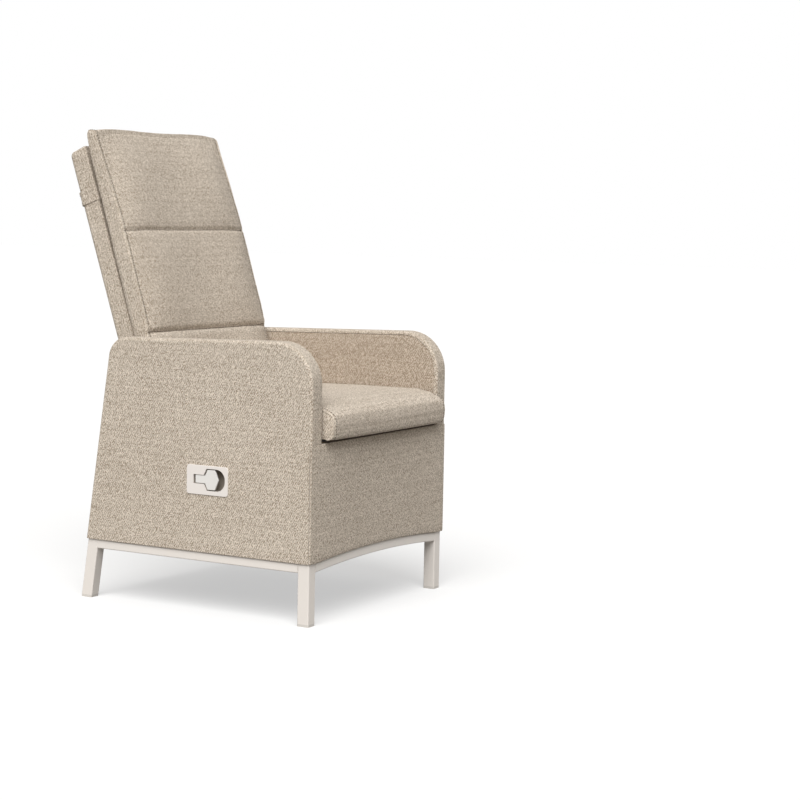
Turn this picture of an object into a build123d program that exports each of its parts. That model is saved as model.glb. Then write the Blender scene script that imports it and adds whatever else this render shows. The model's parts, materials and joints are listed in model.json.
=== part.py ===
from build123d import *
import math
import os

# Reclining garden armchair, in millimetres. +Z is up, the sitter faces -Y, and the release paddle
# is on the -X side, at the sitter's right hand. While the pieces are made, y is 0 at the front of
# the front legs and z is 0 at the floor; at the end all are moved so that the origin lies on the
# floor under the middle of the whole chair.

# Side frames: one bent tube makes the front leg, the arm and the raked rear leg
frame_half_width = 303.0
tube_width = 28.0
tube_depth = 30.0
tube_wall = 1.8
tube_edge_radius = 2.5
arm_tube_height = 631.0
arm_slope = 1.4
rear_foot_y = 646.0
rear_rake = 8.2
front_bend_radius = 90.0
rear_bend_radius = 42.0
rail_bottom = 121.0
rail_height = 22.0
front_rail_rise = 12.0
glide_height = 6.0
glide_plug_length = 20.0

# Upholstery of the sides, the front and the rear
cover_side_thickness = 4.0
cover_front_thickness = 5.0
cover_top_thickness = 10.0
cover_rear_thickness = 5.0
cover_edge_radius = 3.5
arm_pad_thickness = 13.0
arm_pad_edge_radius = 4.0
front_seam_height = 421.0
board_thickness = 6.0
board_top_drop = 6.0
rear_panel_thickness = 11.0

# Seat frame and webbing
seat_frame_drop = 3.0
seat_tube_height = 30.0
seat_tube_width = 22.0
seat_rail_gap = 21.0
seat_middle_y = 290.0
seat_back_y = 436.0
seat_rear_gap = 1.3
strap_thickness = 1.2
strap_width = 45.0
strap_fold = 20.0
cross_strap_count = 6
long_strap_count = 5

# Seat cushion
seat_cushion_side_gap = 5.0
seat_cushion_thickness = 73.0
seat_cushion_crown = 6.0
seat_cushion_overhang = 31.0
seat_cushion_back_y = 440.0
seat_fall_y = 42.0
seat_fall_height = 23.0
seat_rear_drop = 8.0
seat_side_taper = 22.0
seat_corner = 14.0

# Recline joint
pivot_y = 506.0
pivot_rise = 27.0
rest_recline = 18.5
recline_range = 30.0
pivot_bolt_radius = 5.0
running_clearance = 0.05
moving_gap = 0.3
plate_thickness = 5.0
hinge_gap = 2.0
bracket_half_length = 26.0
bracket_overlap = 26.0
bracket_head_radius = 16.0
hinge_plate_radius = 18.0
hinge_plate_length = 150.0
bush_wall = 2.0
bush_flange_radius = 10.0
bolt_head_radius = 8.5
bolt_head_height = 5.0
nut_width = 16.0
nut_height = 8.0
torque_tube_radius = 14.0
torque_tube_wall = 3.5
screw_radius = 3.0
screw_head_radius = 5.5
screw_head_height = 4.0
screw_length = 10.0

# Back frame and padded shell, measured from the recline axis with the back upright
back_tube_width = 22.0
back_tube_depth = 24.0
back_frame_bottom = 30.0
back_frame_top = 640.0
back_bend_radius = 34.0
back_bar_height = 340.0
back_strap_count = 6
shell_side_gap = 24.0
shell_half_thickness = 21.0
shell_pad_thickness = 8.0
shell_bottom = 24.0
shell_top = 656.0
shell_edge_radius = 12.0
shell_front_edge_radius = 4.0
band_low = 528.0
band_width = 30.0
band_thickness = 1.5

# Back cushion, measured the same way
back_cushion_side_gap = 22.0
back_cushion_bottom = 20.0
back_cushion_top = 682.0
back_cushion_low_seam = 178.0
back_cushion_high_seam = 428.0
back_cushion_seam_depth = 75.0
back_cushion_foot_depth = 66.0
back_cushion_puff = 13.0
back_cushion_side_puff = 3.0
back_cushion_lean = 9.0
back_cushion_side_taper = 24.0
back_cushion_corner = 15.0

# Lockable gas spring under the seat, between a crank on the back and an anchor on the seat frame
crank_reach = 85.0
crank_head_radius = 20.0
crank_eye_radius = 13.0
crank_plate_thickness = 4.0
crank_plate_gap = 1.0
crank_pin_radius = 5.0
crank_pin_head_radius = 8.0
crank_pin_head_height = 3.0
anchor_drop = 52.0
eye_half_width = 6.0
eye_wall = 4.5
eye_drop_share = 0.59
eye_play_share = 0.64
cylinder_radius = 14.0
cylinder_wall = 1.5
cylinder_start = 74.0
cylinder_end = 200.0
cylinder_cap = 4.0
guide_length = 14.0
rod_radius = 5.0
rod_start = 8.0
piston_start = 90.0
piston_length = 10.0
rod_bore_depth = 34.0
eye_neck_radius = 5.2

# Release head on the rod, its lever and pin
head_half_width = 14.0
head_half_height = 13.0
head_front = 25.0
head_rear = 26.0
lever_slot_half_height = 4.5
lever_half_height = 3.5
lever_depth = 6.0
lever_pivot_x = 10.5
lever_pivot_ahead = 20.0
lever_end_radius = 4.0
lever_pin_radius = 2.0
lever_nipple_x = 26.0
release_pin_radius = 2.25
release_pin_gap = 0.2
trunnion_radius = 5.5
trunnion_length = 8.0
cheek_half_depth = 10.0
cheek_thickness = 4.0
cheek_gap = 1.0
cheek_below = 12.0
anchor_wing = 34.0
anchor_screw_x = 27.0
lug_start = 14.0
lug_length = 16.0
lug_half_height = 6.0
lug_half_width = 6.0

# Release handle in the right side panel
handle_y = 276.5
handle_z = 311.0
bezel_length = 115.0
bezel_height = 68.0
bezel_corner_radius = 7.0
bezel_thickness = 2.0
bezel_edge_radius = 0.8
slot_rear_y = 315.0
slot_front_y = 286.0
slot_bottom_z = 302.0
slot_top_z = 323.0
well_front_y = 227.0
well_bottom_z = 287.0
well_top_z = 338.0
well_rear_y = 278.5
well_corner_radius = 24.0
well_depth = 28.0
housing_wall = 2.0
paddle_thickness = 4.0
paddle_proud = 1.0
paddle_gap = 1.5
paddle_head_rear_y = 276.5
paddle_neck_y = 283.0
paddle_head_front_y = 256.0
paddle_nose_y = 246.0
paddle_head_edge = 2.5
paddle_corner_radius = 1.5
paddle_edge_chamfer = 0.6
paddle_pivot_y = 306.0
paddle_pivot_depth = 7.5
paddle_pin_radius = 2.0
paddle_barrel_radius = 5.5
paddle_barrel_height = 12.0
paddle_tail_overhang = 4.0
paddle_range = 30.0
paddle_arm = 12.0
paddle_arm_half_width = 5.0
paddle_arm_height = 7.0
spring_wire_radius = 0.5
spring_coil_radius = 3.2
spring_pitch = 1.4
spring_height = 4.2

# Release cable between the handle and the gas spring
sheath_radius = 2.5
cable_bore_radius = 0.9
wire_radius = 0.8
nipple_radius = 2.5
nipple_play = 0.35
nipple_half_height = 2.5
wire_slit_half_height = 1.2
boss_radius = 5.0
boss_length = 12.0
boss_wall = 2.0
sheath_bore_depth = 15.0
sheath_spring_bore_depth = 9.0
handle_wire_length = 26.0
spring_wire_reach = 20.0
sheath_end_gap = 0.6
cable_first_turn_y = 428.0
cable_outer_turn_gap = 10.0
cable_outer_turn_y = 490.0
cable_outer_turn_rise = 19.0
cable_inner_turn_share = 0.43
cable_inner_turn_y = 482.0
cable_inner_turn_drop = 12.0
cable_last_turn = 145.0
overrun = 1.0

# Places that follow from the sizes above
rail_top = rail_bottom + rail_height
tube_inner_x = frame_half_width - tube_width
arm_inner_x = tube_inner_x - arm_pad_thickness
cover_outer_x = frame_half_width + cover_side_thickness
seat_cushion_half_width = arm_inner_x - seat_cushion_side_gap
shell_half_width = arm_inner_x - shell_side_gap
back_cushion_half_width = arm_inner_x - back_cushion_side_gap
seat_frame_top = front_seam_height - seat_frame_drop
seat_frame_bottom = seat_frame_top - seat_tube_height
seat_rail_outer_x = tube_inner_x - seat_rail_gap
pivot_z = seat_frame_top + pivot_rise
anchor_z = seat_frame_top - anchor_drop
seat_rail_inner_x = seat_rail_outer_x - seat_tube_width
bracket_inner_x = seat_rail_inner_x - plate_thickness
hinge_plate_outer_x = bracket_inner_x - hinge_gap
back_tube_outer_x = hinge_plate_outer_x - plate_thickness
eye_z = pivot_z - crank_reach
crank_inner_x = eye_half_width + crank_plate_gap
crank_outer_x = crank_inner_x + crank_plate_thickness
spring_length = math.hypot(pivot_y - seat_middle_y, eye_z - anchor_z)
spring_tilt = math.degrees(math.atan2(eye_z - anchor_z, pivot_y - seat_middle_y))
crank_sagitta = crank_reach * (1 - math.cos(math.radians(recline_range * 0.5)))
eye_bore_radius = crank_pin_radius + crank_sagitta * eye_play_share + moving_gap
shell_rear_inner = shell_half_thickness - shell_pad_thickness
back_tube_front = shell_rear_inner - back_tube_depth
back_strap_front = back_tube_front - strap_thickness
paddle_pivot_x = paddle_pivot_depth - cover_outer_x
nipple_x = paddle_pivot_x + paddle_arm
paddle_arm_z = slot_bottom_z + paddle_gap + paddle_arm_height * 0.5
lever_arm = lever_nipple_x + lever_pivot_x
cable_travel = paddle_arm * math.tan(math.radians(paddle_range))


def block(x, y, z):
    """Box between three (low, high) pairs."""
    low = Vector(x[0], y[0], z[0])
    high = Vector(x[1], y[1], z[1])
    size = high - low
    return Pos(low + size * 0.5) * Box(size.X, size.Y, size.Z)


def box_tube(x, y, z, run, wall):
    """Rectangular tube between three (low, high) pairs, open at both ends along axis number run."""
    grow = [wall, wall, wall]
    grow[run] = -overrun
    inner = [(pair[0] + step, pair[1] - step) for pair, step in zip((x, y, z), grow)]
    outer = block(x, y, z)
    long_edges = outer.edges().filter_by((Axis.X, Axis.Y, Axis.Z)[run])
    return fillet(long_edges, tube_edge_radius) - block(*inner)


def rod_along(axis, start, radius, length):
    """Round rod from a start point along the axis X, Y or Z."""
    turns = {"X": Rot(0, 90, 0), "Y": Rot(-90, 0, 0), "Z": Rot(0, 0, 0)}
    bar = Cylinder(radius, length, align=(Align.CENTER, Align.CENTER, Align.MIN))
    return Pos(*start) * turns[axis] * bar


def outline(points, radii=0):
    """Face with the given corner points and corner radii."""
    return make_face(FilletPolyline(*points, radius=radii, close=True))


def side_prism(face, x_low, x_high):
    """Solid from a face drawn in (y, z), between two values of x."""
    return extrude(Plane.YZ.offset(x_low) * face, x_high - x_low)


def front_prism(face, y_low, y_high):
    """Solid from a face drawn in (x, z), between two values of y."""
    return extrude(Plane.XZ.offset(-y_high) * face, y_high - y_low)


def edges_above(faces, height):
    """Edges of some faces that lie above a height."""
    return ShapeList(edge for edge in faces.edges() if edge.center().Z > height + overrun)


def mirrored(shape):
    """The same piece on the other side of the chair."""
    return mirror(shape, about=Plane.YZ)


def rear_line(z, margin=0):
    """y of the rear face of the rear leg at a height, moved out by a margin."""
    rake = math.radians(rear_rake)
    return rear_foot_y + margin / math.cos(rake) - z * math.tan(rake)


def seat_rear_y():
    """Middle of the seat frame's rear cross tube, just in front of the rear panel."""
    panel_inner = rear_line(front_seam_height, cover_rear_thickness - rear_panel_thickness)
    return panel_inner - seat_rear_gap - seat_tube_width * 0.5


def top_line(y, margin=0):
    """z of the top of the arm tube at a place along the chair, moved up by a margin."""
    slope = math.radians(arm_slope)
    return arm_tube_height + margin / math.cos(slope) - y * math.tan(slope)


def side_face(front, top, rear, bottom):
    """Side of the chair as a face in (y, z), grown by a margin at the front, the top and the rear."""
    slope = math.tan(math.radians(arm_slope))
    rake = math.tan(math.radians(rear_rake))
    corner_y = (rear_line(top_line(0, top), rear)) / (1 - slope * rake)
    corners = [
        (-front, bottom),
        (-front, top_line(-front, top)),
        (corner_y, top_line(corner_y, top)),
        (rear_line(bottom, rear), bottom),
    ]
    front_radius = front_bend_radius + (front + top) * 0.5
    rear_radius = rear_bend_radius + (rear + top) * 0.5
    return outline(corners, [0, front_radius, rear_radius, 0])


def hoop_bar(inset, bottom):
    """Solid along the side frame's path, smaller than the tube by an inset on every side."""
    deep = tube_depth - inset
    face = side_face(-inset, -inset, -inset, bottom)
    face -= side_face(-deep, -deep, -deep, bottom - overrun)
    return side_prism(face, tube_inner_x + inset, frame_half_width - inset)


def rounded_hoop_bar(bottom):
    """The whole section of the side frame's tube, with its long edges rounded."""
    bar = hoop_bar(0, bottom)
    return fillet(edges_above(bar.faces().filter_by(Axis.X), bottom), tube_edge_radius)


def side_hoop():
    return rounded_hoop_bar(glide_height) - hoop_bar(tube_wall, glide_height - overrun)


def foot_glides():
    """Caps under the front and rear leg of one side, with plugs inside the tube."""
    low = glide_height + glide_plug_length
    reach = (-overrun, rear_foot_y + overrun)
    width = (0, frame_half_width + overrun)
    feet = rounded_hoop_bar(0) & block(width, reach, (0, glide_height))
    plugs = hoop_bar(tube_wall, 0) & block(width, reach, (glide_height, low))
    caps = []
    for foot in feet.solids():
        plug = plugs.solids().sort_by_distance(foot.center())[0]
        caps.append(foot + plug)
    return caps


def side_rail():
    rail = box_tube(
        (tube_inner_x, frame_half_width),
        (tube_depth, rear_foot_y),
        (rail_bottom, rail_top),
        1,
        tube_wall,
    )
    rear_leg = hoop_bar(0, 0) + hoop_bar(tube_wall, 0)
    inside = side_face(-tube_depth, -tube_depth, -tube_depth, 0)
    return (rail - rear_leg) & side_prism(inside, 0, frame_half_width)


def arch(z, half_span, rise):
    """Curved line across the chair that rises in the middle."""
    return ThreePointArc((-half_span, z), (0, z + rise), (half_span, z))


def arch_face(z_low, z_high, half_span):
    """Band between two equal arches."""
    low = arch(z_low, half_span, front_rail_rise)
    high = arch(z_high, half_span, front_rail_rise)
    ends = [Line(low @ 0, high @ 0), Line(low @ 1, high @ 1)]
    return make_face([low, high, *ends])


def arched_panel_face(z_low, z_high, half_span):
    """Panel whose lower edge follows the arch of the front rail and whose top is straight."""
    low = arch(z_low, half_span, front_rail_rise)
    rest = Polyline(low @ 0, (-half_span, z_high), (half_span, z_high), low @ 1)
    return make_face([low, rest])


def front_rail():
    outer = front_prism(arch_face(rail_bottom, rail_top, tube_inner_x), 0, tube_width)
    outer = fillet(outer.edges().filter_by(lambda edge: edge.length > tube_inner_x), tube_edge_radius)
    hollow_face = arch_face(rail_bottom + tube_wall, rail_top - tube_wall, tube_inner_x)
    return outer - front_prism(hollow_face, tube_wall, tube_width - tube_wall)


def rear_rail():
    middle = rear_line((rail_bottom + rail_top) * 0.5) - tube_depth * 0.5
    half = tube_width * 0.5
    return box_tube(
        (-tube_inner_x, tube_inner_x),
        (middle - half, middle + half),
        (rail_bottom, rail_top),
        0,
        tube_wall,
    )


def side_board():
    face = side_face(-tube_depth, -tube_depth, -tube_depth, rail_top)
    return side_prism(face, frame_half_width - board_thickness, frame_half_width)


def side_cover():
    """Soft cover over the outside of one arm and round its edges, open towards the seat."""
    margins = (cover_front_thickness, cover_top_thickness, cover_rear_thickness)
    shell = side_prism(side_face(*margins, rail_top), arm_inner_x, cover_outer_x)
    shell = fillet(edges_above(shell.faces().filter_by(Axis.X), rail_top), cover_edge_radius)
    inside = side_face(0, 0, 0, rail_top - overrun)
    shell -= side_prism(inside, arm_inner_x - overrun, frame_half_width)
    below_seam = block((0, cover_outer_x + overrun), (-tube_depth, 0), (0, front_seam_height))
    return shell - below_seam


def arm_inner_pad():
    pad = side_prism(side_face(0, 0, 0, front_seam_height), arm_inner_x, tube_inner_x)
    return fillet(edges_above(pad.faces().sort_by(Axis.X)[:1], front_seam_height), arm_pad_edge_radius)


def front_board():
    face = arched_panel_face(rail_top, front_seam_height - board_top_drop, tube_inner_x)
    return front_prism(face, 0, board_thickness)


def front_cover():
    """Fabric front below the seat, across the fronts of both legs."""
    middle = arched_panel_face(rail_top, front_seam_height, tube_inner_x)
    cover = front_prism(middle, -cover_front_thickness, 0)
    for x in ((tube_inner_x, cover_outer_x), (-cover_outer_x, -tube_inner_x)):
        cover += block(x, (-cover_front_thickness, 0), (rail_top, front_seam_height))
    face = cover.faces().sort_by(Axis.Y)[0]
    edges = face.edges().filter_by(Axis.Z)
    return fillet(edges.group_by(Axis.X)[0] + edges.group_by(Axis.X)[-1], cover_edge_radius)


def rear_panel():
    """Low upholstered panel between the rear legs."""
    outer = cover_rear_thickness
    inner = outer - rear_panel_thickness
    face = outline([
        (rear_line(rail_top, inner), rail_top),
        (rear_line(rail_top, outer), rail_top),
        (rear_line(front_seam_height, outer), front_seam_height),
        (rear_line(front_seam_height, inner), front_seam_height),
    ])
    return side_prism(face, -arm_inner_x, arm_inner_x)


def seat_cross(y_middle, half_length):
    """Cross tube of the seat frame."""
    x = (-half_length, half_length)
    y = (y_middle - seat_tube_width * 0.5, y_middle + seat_tube_width * 0.5)
    return box_tube(x, y, (seat_frame_bottom, seat_frame_top), 0, tube_wall)


def seat_rail():
    x = (seat_rail_inner_x, seat_rail_outer_x)
    y = (board_thickness + seat_tube_width, seat_rear_y() - seat_tube_width * 0.5)
    return box_tube(x, y, (seat_frame_bottom, seat_frame_top), 1, tube_wall)


def spaced(low, high, count, width):
    """Middles of equal things of one width, spread evenly between two limits."""
    free = (high - low - count * width) / (count + 1)
    return [low + free + width * 0.5 + index * (free + width) for index in range(count)]


def seat_straps_cross():
    """Webbing from rail to rail, folded down over the rails."""
    front = board_thickness + seat_tube_width
    rear = seat_back_y - seat_tube_width * 0.5
    top = seat_frame_top + strap_thickness
    outer = seat_rail_outer_x + strap_thickness
    half = strap_width * 0.5
    straps = []
    for y in spaced(front, rear, cross_strap_count, strap_width):
        width = (y - half, y + half)
        strap = block((-outer, outer), width, (seat_frame_top, top))
        for x in ((-outer, -seat_rail_outer_x), (seat_rail_outer_x, outer)):
            strap += block(x, width, (seat_frame_top - strap_fold, top))
        straps.append(strap)
    return straps


def seat_straps_long():
    """Webbing from the front cross tube to the back one, over the cross straps, folded at its ends."""
    front = board_thickness + seat_tube_width
    rear = seat_back_y + seat_tube_width * 0.5
    low = seat_frame_top + strap_thickness
    top = low + strap_thickness
    half = strap_width * 0.5
    straps = []
    for x in spaced(-seat_rail_inner_x, seat_rail_inner_x, long_strap_count, strap_width):
        width = (x - half, x + half)
        strap = block(width, (front, rear + strap_thickness), (low, top))
        for y in ((front, front + strap_thickness), (rear, rear + strap_thickness)):
            strap += block(width, y, (seat_frame_top - strap_fold, top))
        straps.append(strap)
    return straps


def seat_cushion_section(x, crown, draw):
    """Side profile of the seat cushion at one x: raised by the crown and drawn in all round."""
    low = front_seam_height
    top = low + seat_cushion_thickness + crown - draw
    rear = seat_cushion_back_y - draw
    front = -seat_cushion_overhang + draw
    rear_top = top - seat_rear_drop
    fall = (front, top - seat_fall_height)
    crest = (seat_fall_y, top)
    fall_middle_y = (front + seat_fall_y) * 0.5 - draw - seat_corner * 0.25
    fall_middle = (fall_middle_y, top - seat_fall_height * 0.38)
    crown_middle = ((crest[0] + rear) * 0.5, top - seat_rear_drop * 0.25)
    foot = (front, low + seat_corner)
    heel = (front + seat_corner, low)
    lines = [
        ThreePointArc(heel, (front + seat_corner * 0.3, low + seat_corner * 0.3), foot),
        ThreePointArc(foot, (front - seat_corner * 0.2, (foot[1] + fall[1]) * 0.5), fall),
        ThreePointArc(fall, fall_middle, crest),
        ThreePointArc(crest, crown_middle, (rear, rear_top)),
        Line((rear, rear_top), (rear, low)),
        Line((rear, low), heel),
    ]
    return Plane.YZ.offset(x) * make_face(lines)


def seat_cushion():
    """Box cushion with a crown, drawn-in sides and a rounded fall over the front edge."""
    side = seat_cushion_half_width
    shoulder = side - seat_side_taper
    sections = [
        seat_cushion_section(-side, 0, seat_corner * 0.3),
        seat_cushion_section(-shoulder, 0, 0),
        seat_cushion_section(0, seat_cushion_crown, 0),
        seat_cushion_section(shoulder, 0, 0),
        seat_cushion_section(side, 0, seat_corner * 0.3),
    ]
    return loft(sections)


def hinge_bracket():
    """Steel plate on the inner face of a seat rail, standing up to the recline axis."""
    low = seat_frame_top - bracket_overlap
    base = outline([
        (pivot_y - bracket_half_length, low),
        (pivot_y + bracket_half_length, low),
        (pivot_y + bracket_head_radius, pivot_z),
        (pivot_y - bracket_head_radius, pivot_z),
    ])
    face = base + Pos(pivot_y, pivot_z) * Circle(bracket_head_radius)
    face -= Pos(pivot_y, pivot_z) * Circle(pivot_bolt_radius + running_clearance + bush_wall)
    plate = side_prism(face, bracket_inner_x, seat_rail_inner_x)
    for y, z in bracket_screw_places():
        plate -= rod_along("X", (bracket_inner_x, y, z), screw_radius, plate_thickness)
    return plate


def bracket_screw_places():
    """Places (y, z) of the screws that hold a hinge bracket to its rail."""
    reach = bracket_half_length - screw_head_radius - screw_radius
    z = seat_frame_top - bracket_overlap * 0.5
    return [(pivot_y - reach, z), (pivot_y + reach, z)]


def screw(axis_start, direction):
    """Screw that enters along +X or +Z from the outer face of what it holds."""
    along = Vector(1, 0, 0) if direction == "X" else Vector(0, 0, 1)
    head_start = Vector(*axis_start) - along * screw_head_height
    head = rod_along(direction, tuple(head_start), screw_head_radius, screw_head_height)
    return head + rod_along(direction, axis_start, screw_radius, screw_length)


def bracket_screws():
    """Screws of both hinge brackets and of the gas spring's anchor."""
    screws = []
    for y, z in bracket_screw_places():
        one = screw((bracket_inner_x, y, z), "X")
        screws += [one, mirrored(one)]
    plate_bottom = seat_frame_bottom - cheek_thickness
    for x in (-anchor_screw_x, anchor_screw_x):
        screws.append(screw((x, seat_middle_y, plate_bottom), "Z"))
    return screws


def pivot_bush():
    """Flanged plastic bush in a hinge bracket."""
    bore = pivot_bolt_radius + running_clearance
    start = hinge_plate_outer_x + moving_gap
    place = (start, pivot_y, pivot_z)
    sleeve = rod_along("X", place, bore + bush_wall, seat_rail_inner_x - start)
    flange = rod_along("X", place, bush_flange_radius, bracket_inner_x - start)
    return sleeve + flange - rod_along("X", place, bore, seat_rail_inner_x - start)


def pivot_bolt():
    """Shoulder bolt that turns with the back inside the bush."""
    inner = back_tube_outer_x - nut_height
    head_start = seat_rail_inner_x + moving_gap
    shank = rod_along("X", (inner, pivot_y, pivot_z), pivot_bolt_radius, head_start - inner)
    head = rod_along("X", (head_start, pivot_y, pivot_z), bolt_head_radius, bolt_head_height)
    return shank + head


def pivot_nut():
    face = Pos(pivot_y, pivot_z) * RegularPolygon(nut_width * 0.5, 6, major_radius=False)
    face -= Pos(pivot_y, pivot_z) * Circle(pivot_bolt_radius)
    return side_prism(face, back_tube_outer_x - nut_height, back_tube_outer_x)


def torque_tube():
    """Tube on the recline axis between the two hinge plates."""
    face = Circle(torque_tube_radius) - Circle(torque_tube_radius - torque_tube_wall)
    return side_prism(Pos(pivot_y, pivot_z) * face, -back_tube_outer_x, back_tube_outer_x)


def crank_plates():
    """Two plates on the torque tube that hold the gas spring's eye between them."""
    arm = outline([
        (pivot_y - crank_head_radius, pivot_z),
        (pivot_y - crank_eye_radius, eye_z),
        (pivot_y + crank_eye_radius, eye_z),
        (pivot_y + crank_head_radius, pivot_z),
    ])
    face = arm + Pos(pivot_y, pivot_z) * Circle(crank_head_radius)
    face += Pos(pivot_y, eye_z) * Circle(crank_eye_radius)
    face -= Pos(pivot_y, pivot_z) * Circle(torque_tube_radius)
    face -= Pos(pivot_y, eye_z) * Circle(crank_pin_radius)
    plate = side_prism(face, crank_inner_x, crank_outer_x)
    return [plate, mirrored(plate)]


def crank_pin():
    """Pin through the crank plates, headed at both ends."""
    length = crank_outer_x * 2
    pin = rod_along("X", (-crank_outer_x, pivot_y, eye_z), crank_pin_radius, length)
    head = rod_along("X", (crank_outer_x, pivot_y, eye_z), crank_pin_head_radius, crank_pin_head_height)
    return pin + head + mirrored(head)


def leaned(shape):
    """Moves a piece of the upright back, drawn from the recline axis, to its place at rest."""
    return Pos(0, pivot_y, pivot_z) * Rot(-rest_recline, 0, 0) * shape


def hinge_plate():
    """Steel plate from the recline axis up the outside of a back upright."""
    strip = outline([
        (back_tube_front, 0),
        (shell_rear_inner, 0),
        (shell_rear_inner, hinge_plate_length),
        (back_tube_front, hinge_plate_length),
    ])
    face = strip + Circle(hinge_plate_radius) - Circle(pivot_bolt_radius)
    return leaned(side_prism(face, back_tube_outer_x, hinge_plate_outer_x))


def back_hoop_face(inset, bottom):
    """Outline of the back's bent tube in (x, z) from the recline axis."""
    half = back_tube_outer_x - inset
    top = back_frame_top - inset
    radius = back_bend_radius - inset
    return outline([(-half, bottom), (-half, top), (half, top), (half, bottom)], [0, radius, radius, 0])


def back_hoop_bar(inset, bottom):
    far = back_tube_width - inset
    face = back_hoop_face(inset, bottom) - back_hoop_face(far, bottom - overrun)
    return front_prism(face, back_tube_front + inset, shell_rear_inner - inset)


def back_frame():
    tube = back_hoop_bar(0, back_frame_bottom) - back_hoop_bar(tube_wall, back_frame_bottom - overrun)
    return leaned(tube)


def back_cross_bar():
    half = back_tube_outer_x - back_tube_width
    height = (back_bar_height - back_tube_width * 0.5, back_bar_height + back_tube_width * 0.5)
    return leaned(box_tube((-half, half), (back_tube_front, shell_rear_inner), height, 0, tube_wall))


def back_straps():
    """Webbing across the front of the back frame."""
    y = (back_strap_front, back_tube_front)
    x = (-back_tube_outer_x, back_tube_outer_x)
    half = strap_width * 0.5
    heights = spaced(back_frame_bottom, back_frame_top, back_strap_count, strap_width)
    return [leaned(block(x, y, (z - half, z + half))) for z in heights]


def shell_section(grow):
    """Cross-section of the padded shell in (x, y), grown by a margin."""
    half = shell_half_width + grow
    depth = shell_half_thickness + grow
    front = shell_front_edge_radius + grow
    rear = shell_edge_radius + grow
    corners = [(-half, -depth), (half, -depth), (half, depth), (-half, depth)]
    return outline(corners, [front, front, rear, rear])


def back_shell_rear():
    """Padded tray over the rear and the edges of the back, open at the front and the bottom."""
    shell = extrude(Pos(0, 0, shell_bottom) * shell_section(0), shell_top - shell_bottom)
    top_face = shell.faces().sort_by(Axis.Z)[-1]
    rear_edge = top_face.edges().filter_by(Axis.X).sort_by(Axis.Y)[-1]
    shell = fillet(rear_edge, shell_edge_radius)
    cavity = block(
        (-hinge_plate_outer_x, hinge_plate_outer_x),
        (-shell_half_thickness - overrun, shell_rear_inner),
        (shell_bottom - overrun, back_frame_top),
    )
    front = block(
        (-cover_outer_x, cover_outer_x),
        (-shell_half_thickness - overrun, back_strap_front),
        (0, shell_top + overrun),
    )
    return leaned(shell - cavity - front)


def back_shell_front():
    """Padded front face of the shell, under the back cushion."""
    shell = extrude(Pos(0, 0, shell_bottom) * shell_section(0), shell_top - shell_bottom)
    keep = block(
        (-cover_outer_x, cover_outer_x),
        (-shell_half_thickness - overrun, back_strap_front),
        (0, shell_top + overrun),
    )
    return leaned(shell & keep)


def cushion_strap():
    """Elastic strap round the shell that holds the back cushion."""
    ring = shell_section(band_thickness) - shell_section(0)
    return leaned(extrude(Pos(0, 0, band_low) * ring, band_width))


def back_cushion_section(x, puff, draw):
    """Side profile of the back cushion at one x, with a seam at two heights of its front."""
    rear = -shell_half_thickness - band_thickness - moving_gap
    bottom = back_cushion_bottom + draw
    top = back_cushion_top - draw
    corner = back_cushion_corner
    seam = -back_cushion_seam_depth + draw
    foot = -back_cushion_foot_depth + draw
    low = back_cushion_low_seam
    high = back_cushion_high_seam
    brow = top - corner * 2
    nape = (rear - back_cushion_lean, top - corner)
    crown = ((seam + nape[0]) * 0.5, top)
    seams = [(foot, bottom), (foot, low), (seam, high), (seam, brow)]
    lines = [Line((rear, bottom), seams[0])]
    for start, end in zip(seams[:-1], seams[1:]):
        middle = ((start[0] + end[0]) * 0.5 - puff, (start[1] + end[1]) * 0.5)
        lines.append(ThreePointArc(start, middle, end))
    brow_middle = (seam + corner * 0.2, top - corner * 0.7)
    nape_middle = (nape[0] - corner * 0.15, top - corner * 0.3)
    lines.append(ThreePointArc(seams[-1], brow_middle, crown))
    lines.append(ThreePointArc(crown, nape_middle, nape))
    lines.append(Line(nape, (rear, low)))
    lines.append(Line((rear, low), (rear, bottom)))
    return Plane.YZ.offset(x) * make_face(lines)


def back_cushion():
    """Long back cushion in three puffed channels."""
    side = back_cushion_half_width
    shoulder = side - back_cushion_side_taper
    sections = [
        back_cushion_section(-side, back_cushion_side_puff, back_cushion_side_puff),
        back_cushion_section(-shoulder, back_cushion_puff, 0),
        back_cushion_section(0, back_cushion_puff, 0),
        back_cushion_section(shoulder, back_cushion_puff, 0),
        back_cushion_section(side, back_cushion_side_puff, back_cushion_side_puff),
    ]
    return leaned(loft(sections))


def on_spring(shape):
    """Moves a piece drawn along +Y from the anchor axis onto the gas spring's line at rest."""
    return Pos(0, seat_middle_y, anchor_z) * Rot(spring_tilt, 0, 0) * shape


def release_head():
    """Block on the rod's end: it turns on two trunnions, and holds the lever and the cable's end."""
    width = (-head_half_width, head_half_width)
    head = block(width, (-head_front, head_rear), (-head_half_height, head_half_height))
    reach = head_half_width + trunnion_length
    head += rod_along("X", (-reach, 0, 0), trunnion_radius, reach * 2)
    lug_x = (-lever_nipple_x - lug_half_width, -head_half_width)
    lug_y = (lug_start, lug_start + lug_length)
    head += block(lug_x, lug_y, (-lug_half_height, lug_half_height))
    head -= rod_along("Y", (0, -rod_start, 0), rod_radius, head_rear + rod_start + overrun)
    slot_x = (-head_half_width - overrun, head_half_width + overrun)
    slot_z = (-lever_slot_half_height, lever_slot_half_height)
    head -= block(slot_x, (-head_front - overrun, -rod_start), slot_z)
    pin_start = (lever_pivot_x, -lever_pivot_ahead, -head_half_height)
    head -= rod_along("Z", pin_start, lever_pin_radius, head_half_height * 2)
    wire_start = (-lever_nipple_x, lug_start - overrun, 0)
    head -= rod_along("Y", wire_start, cable_bore_radius, lug_length + overrun * 2)
    return on_spring(head)


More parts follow.
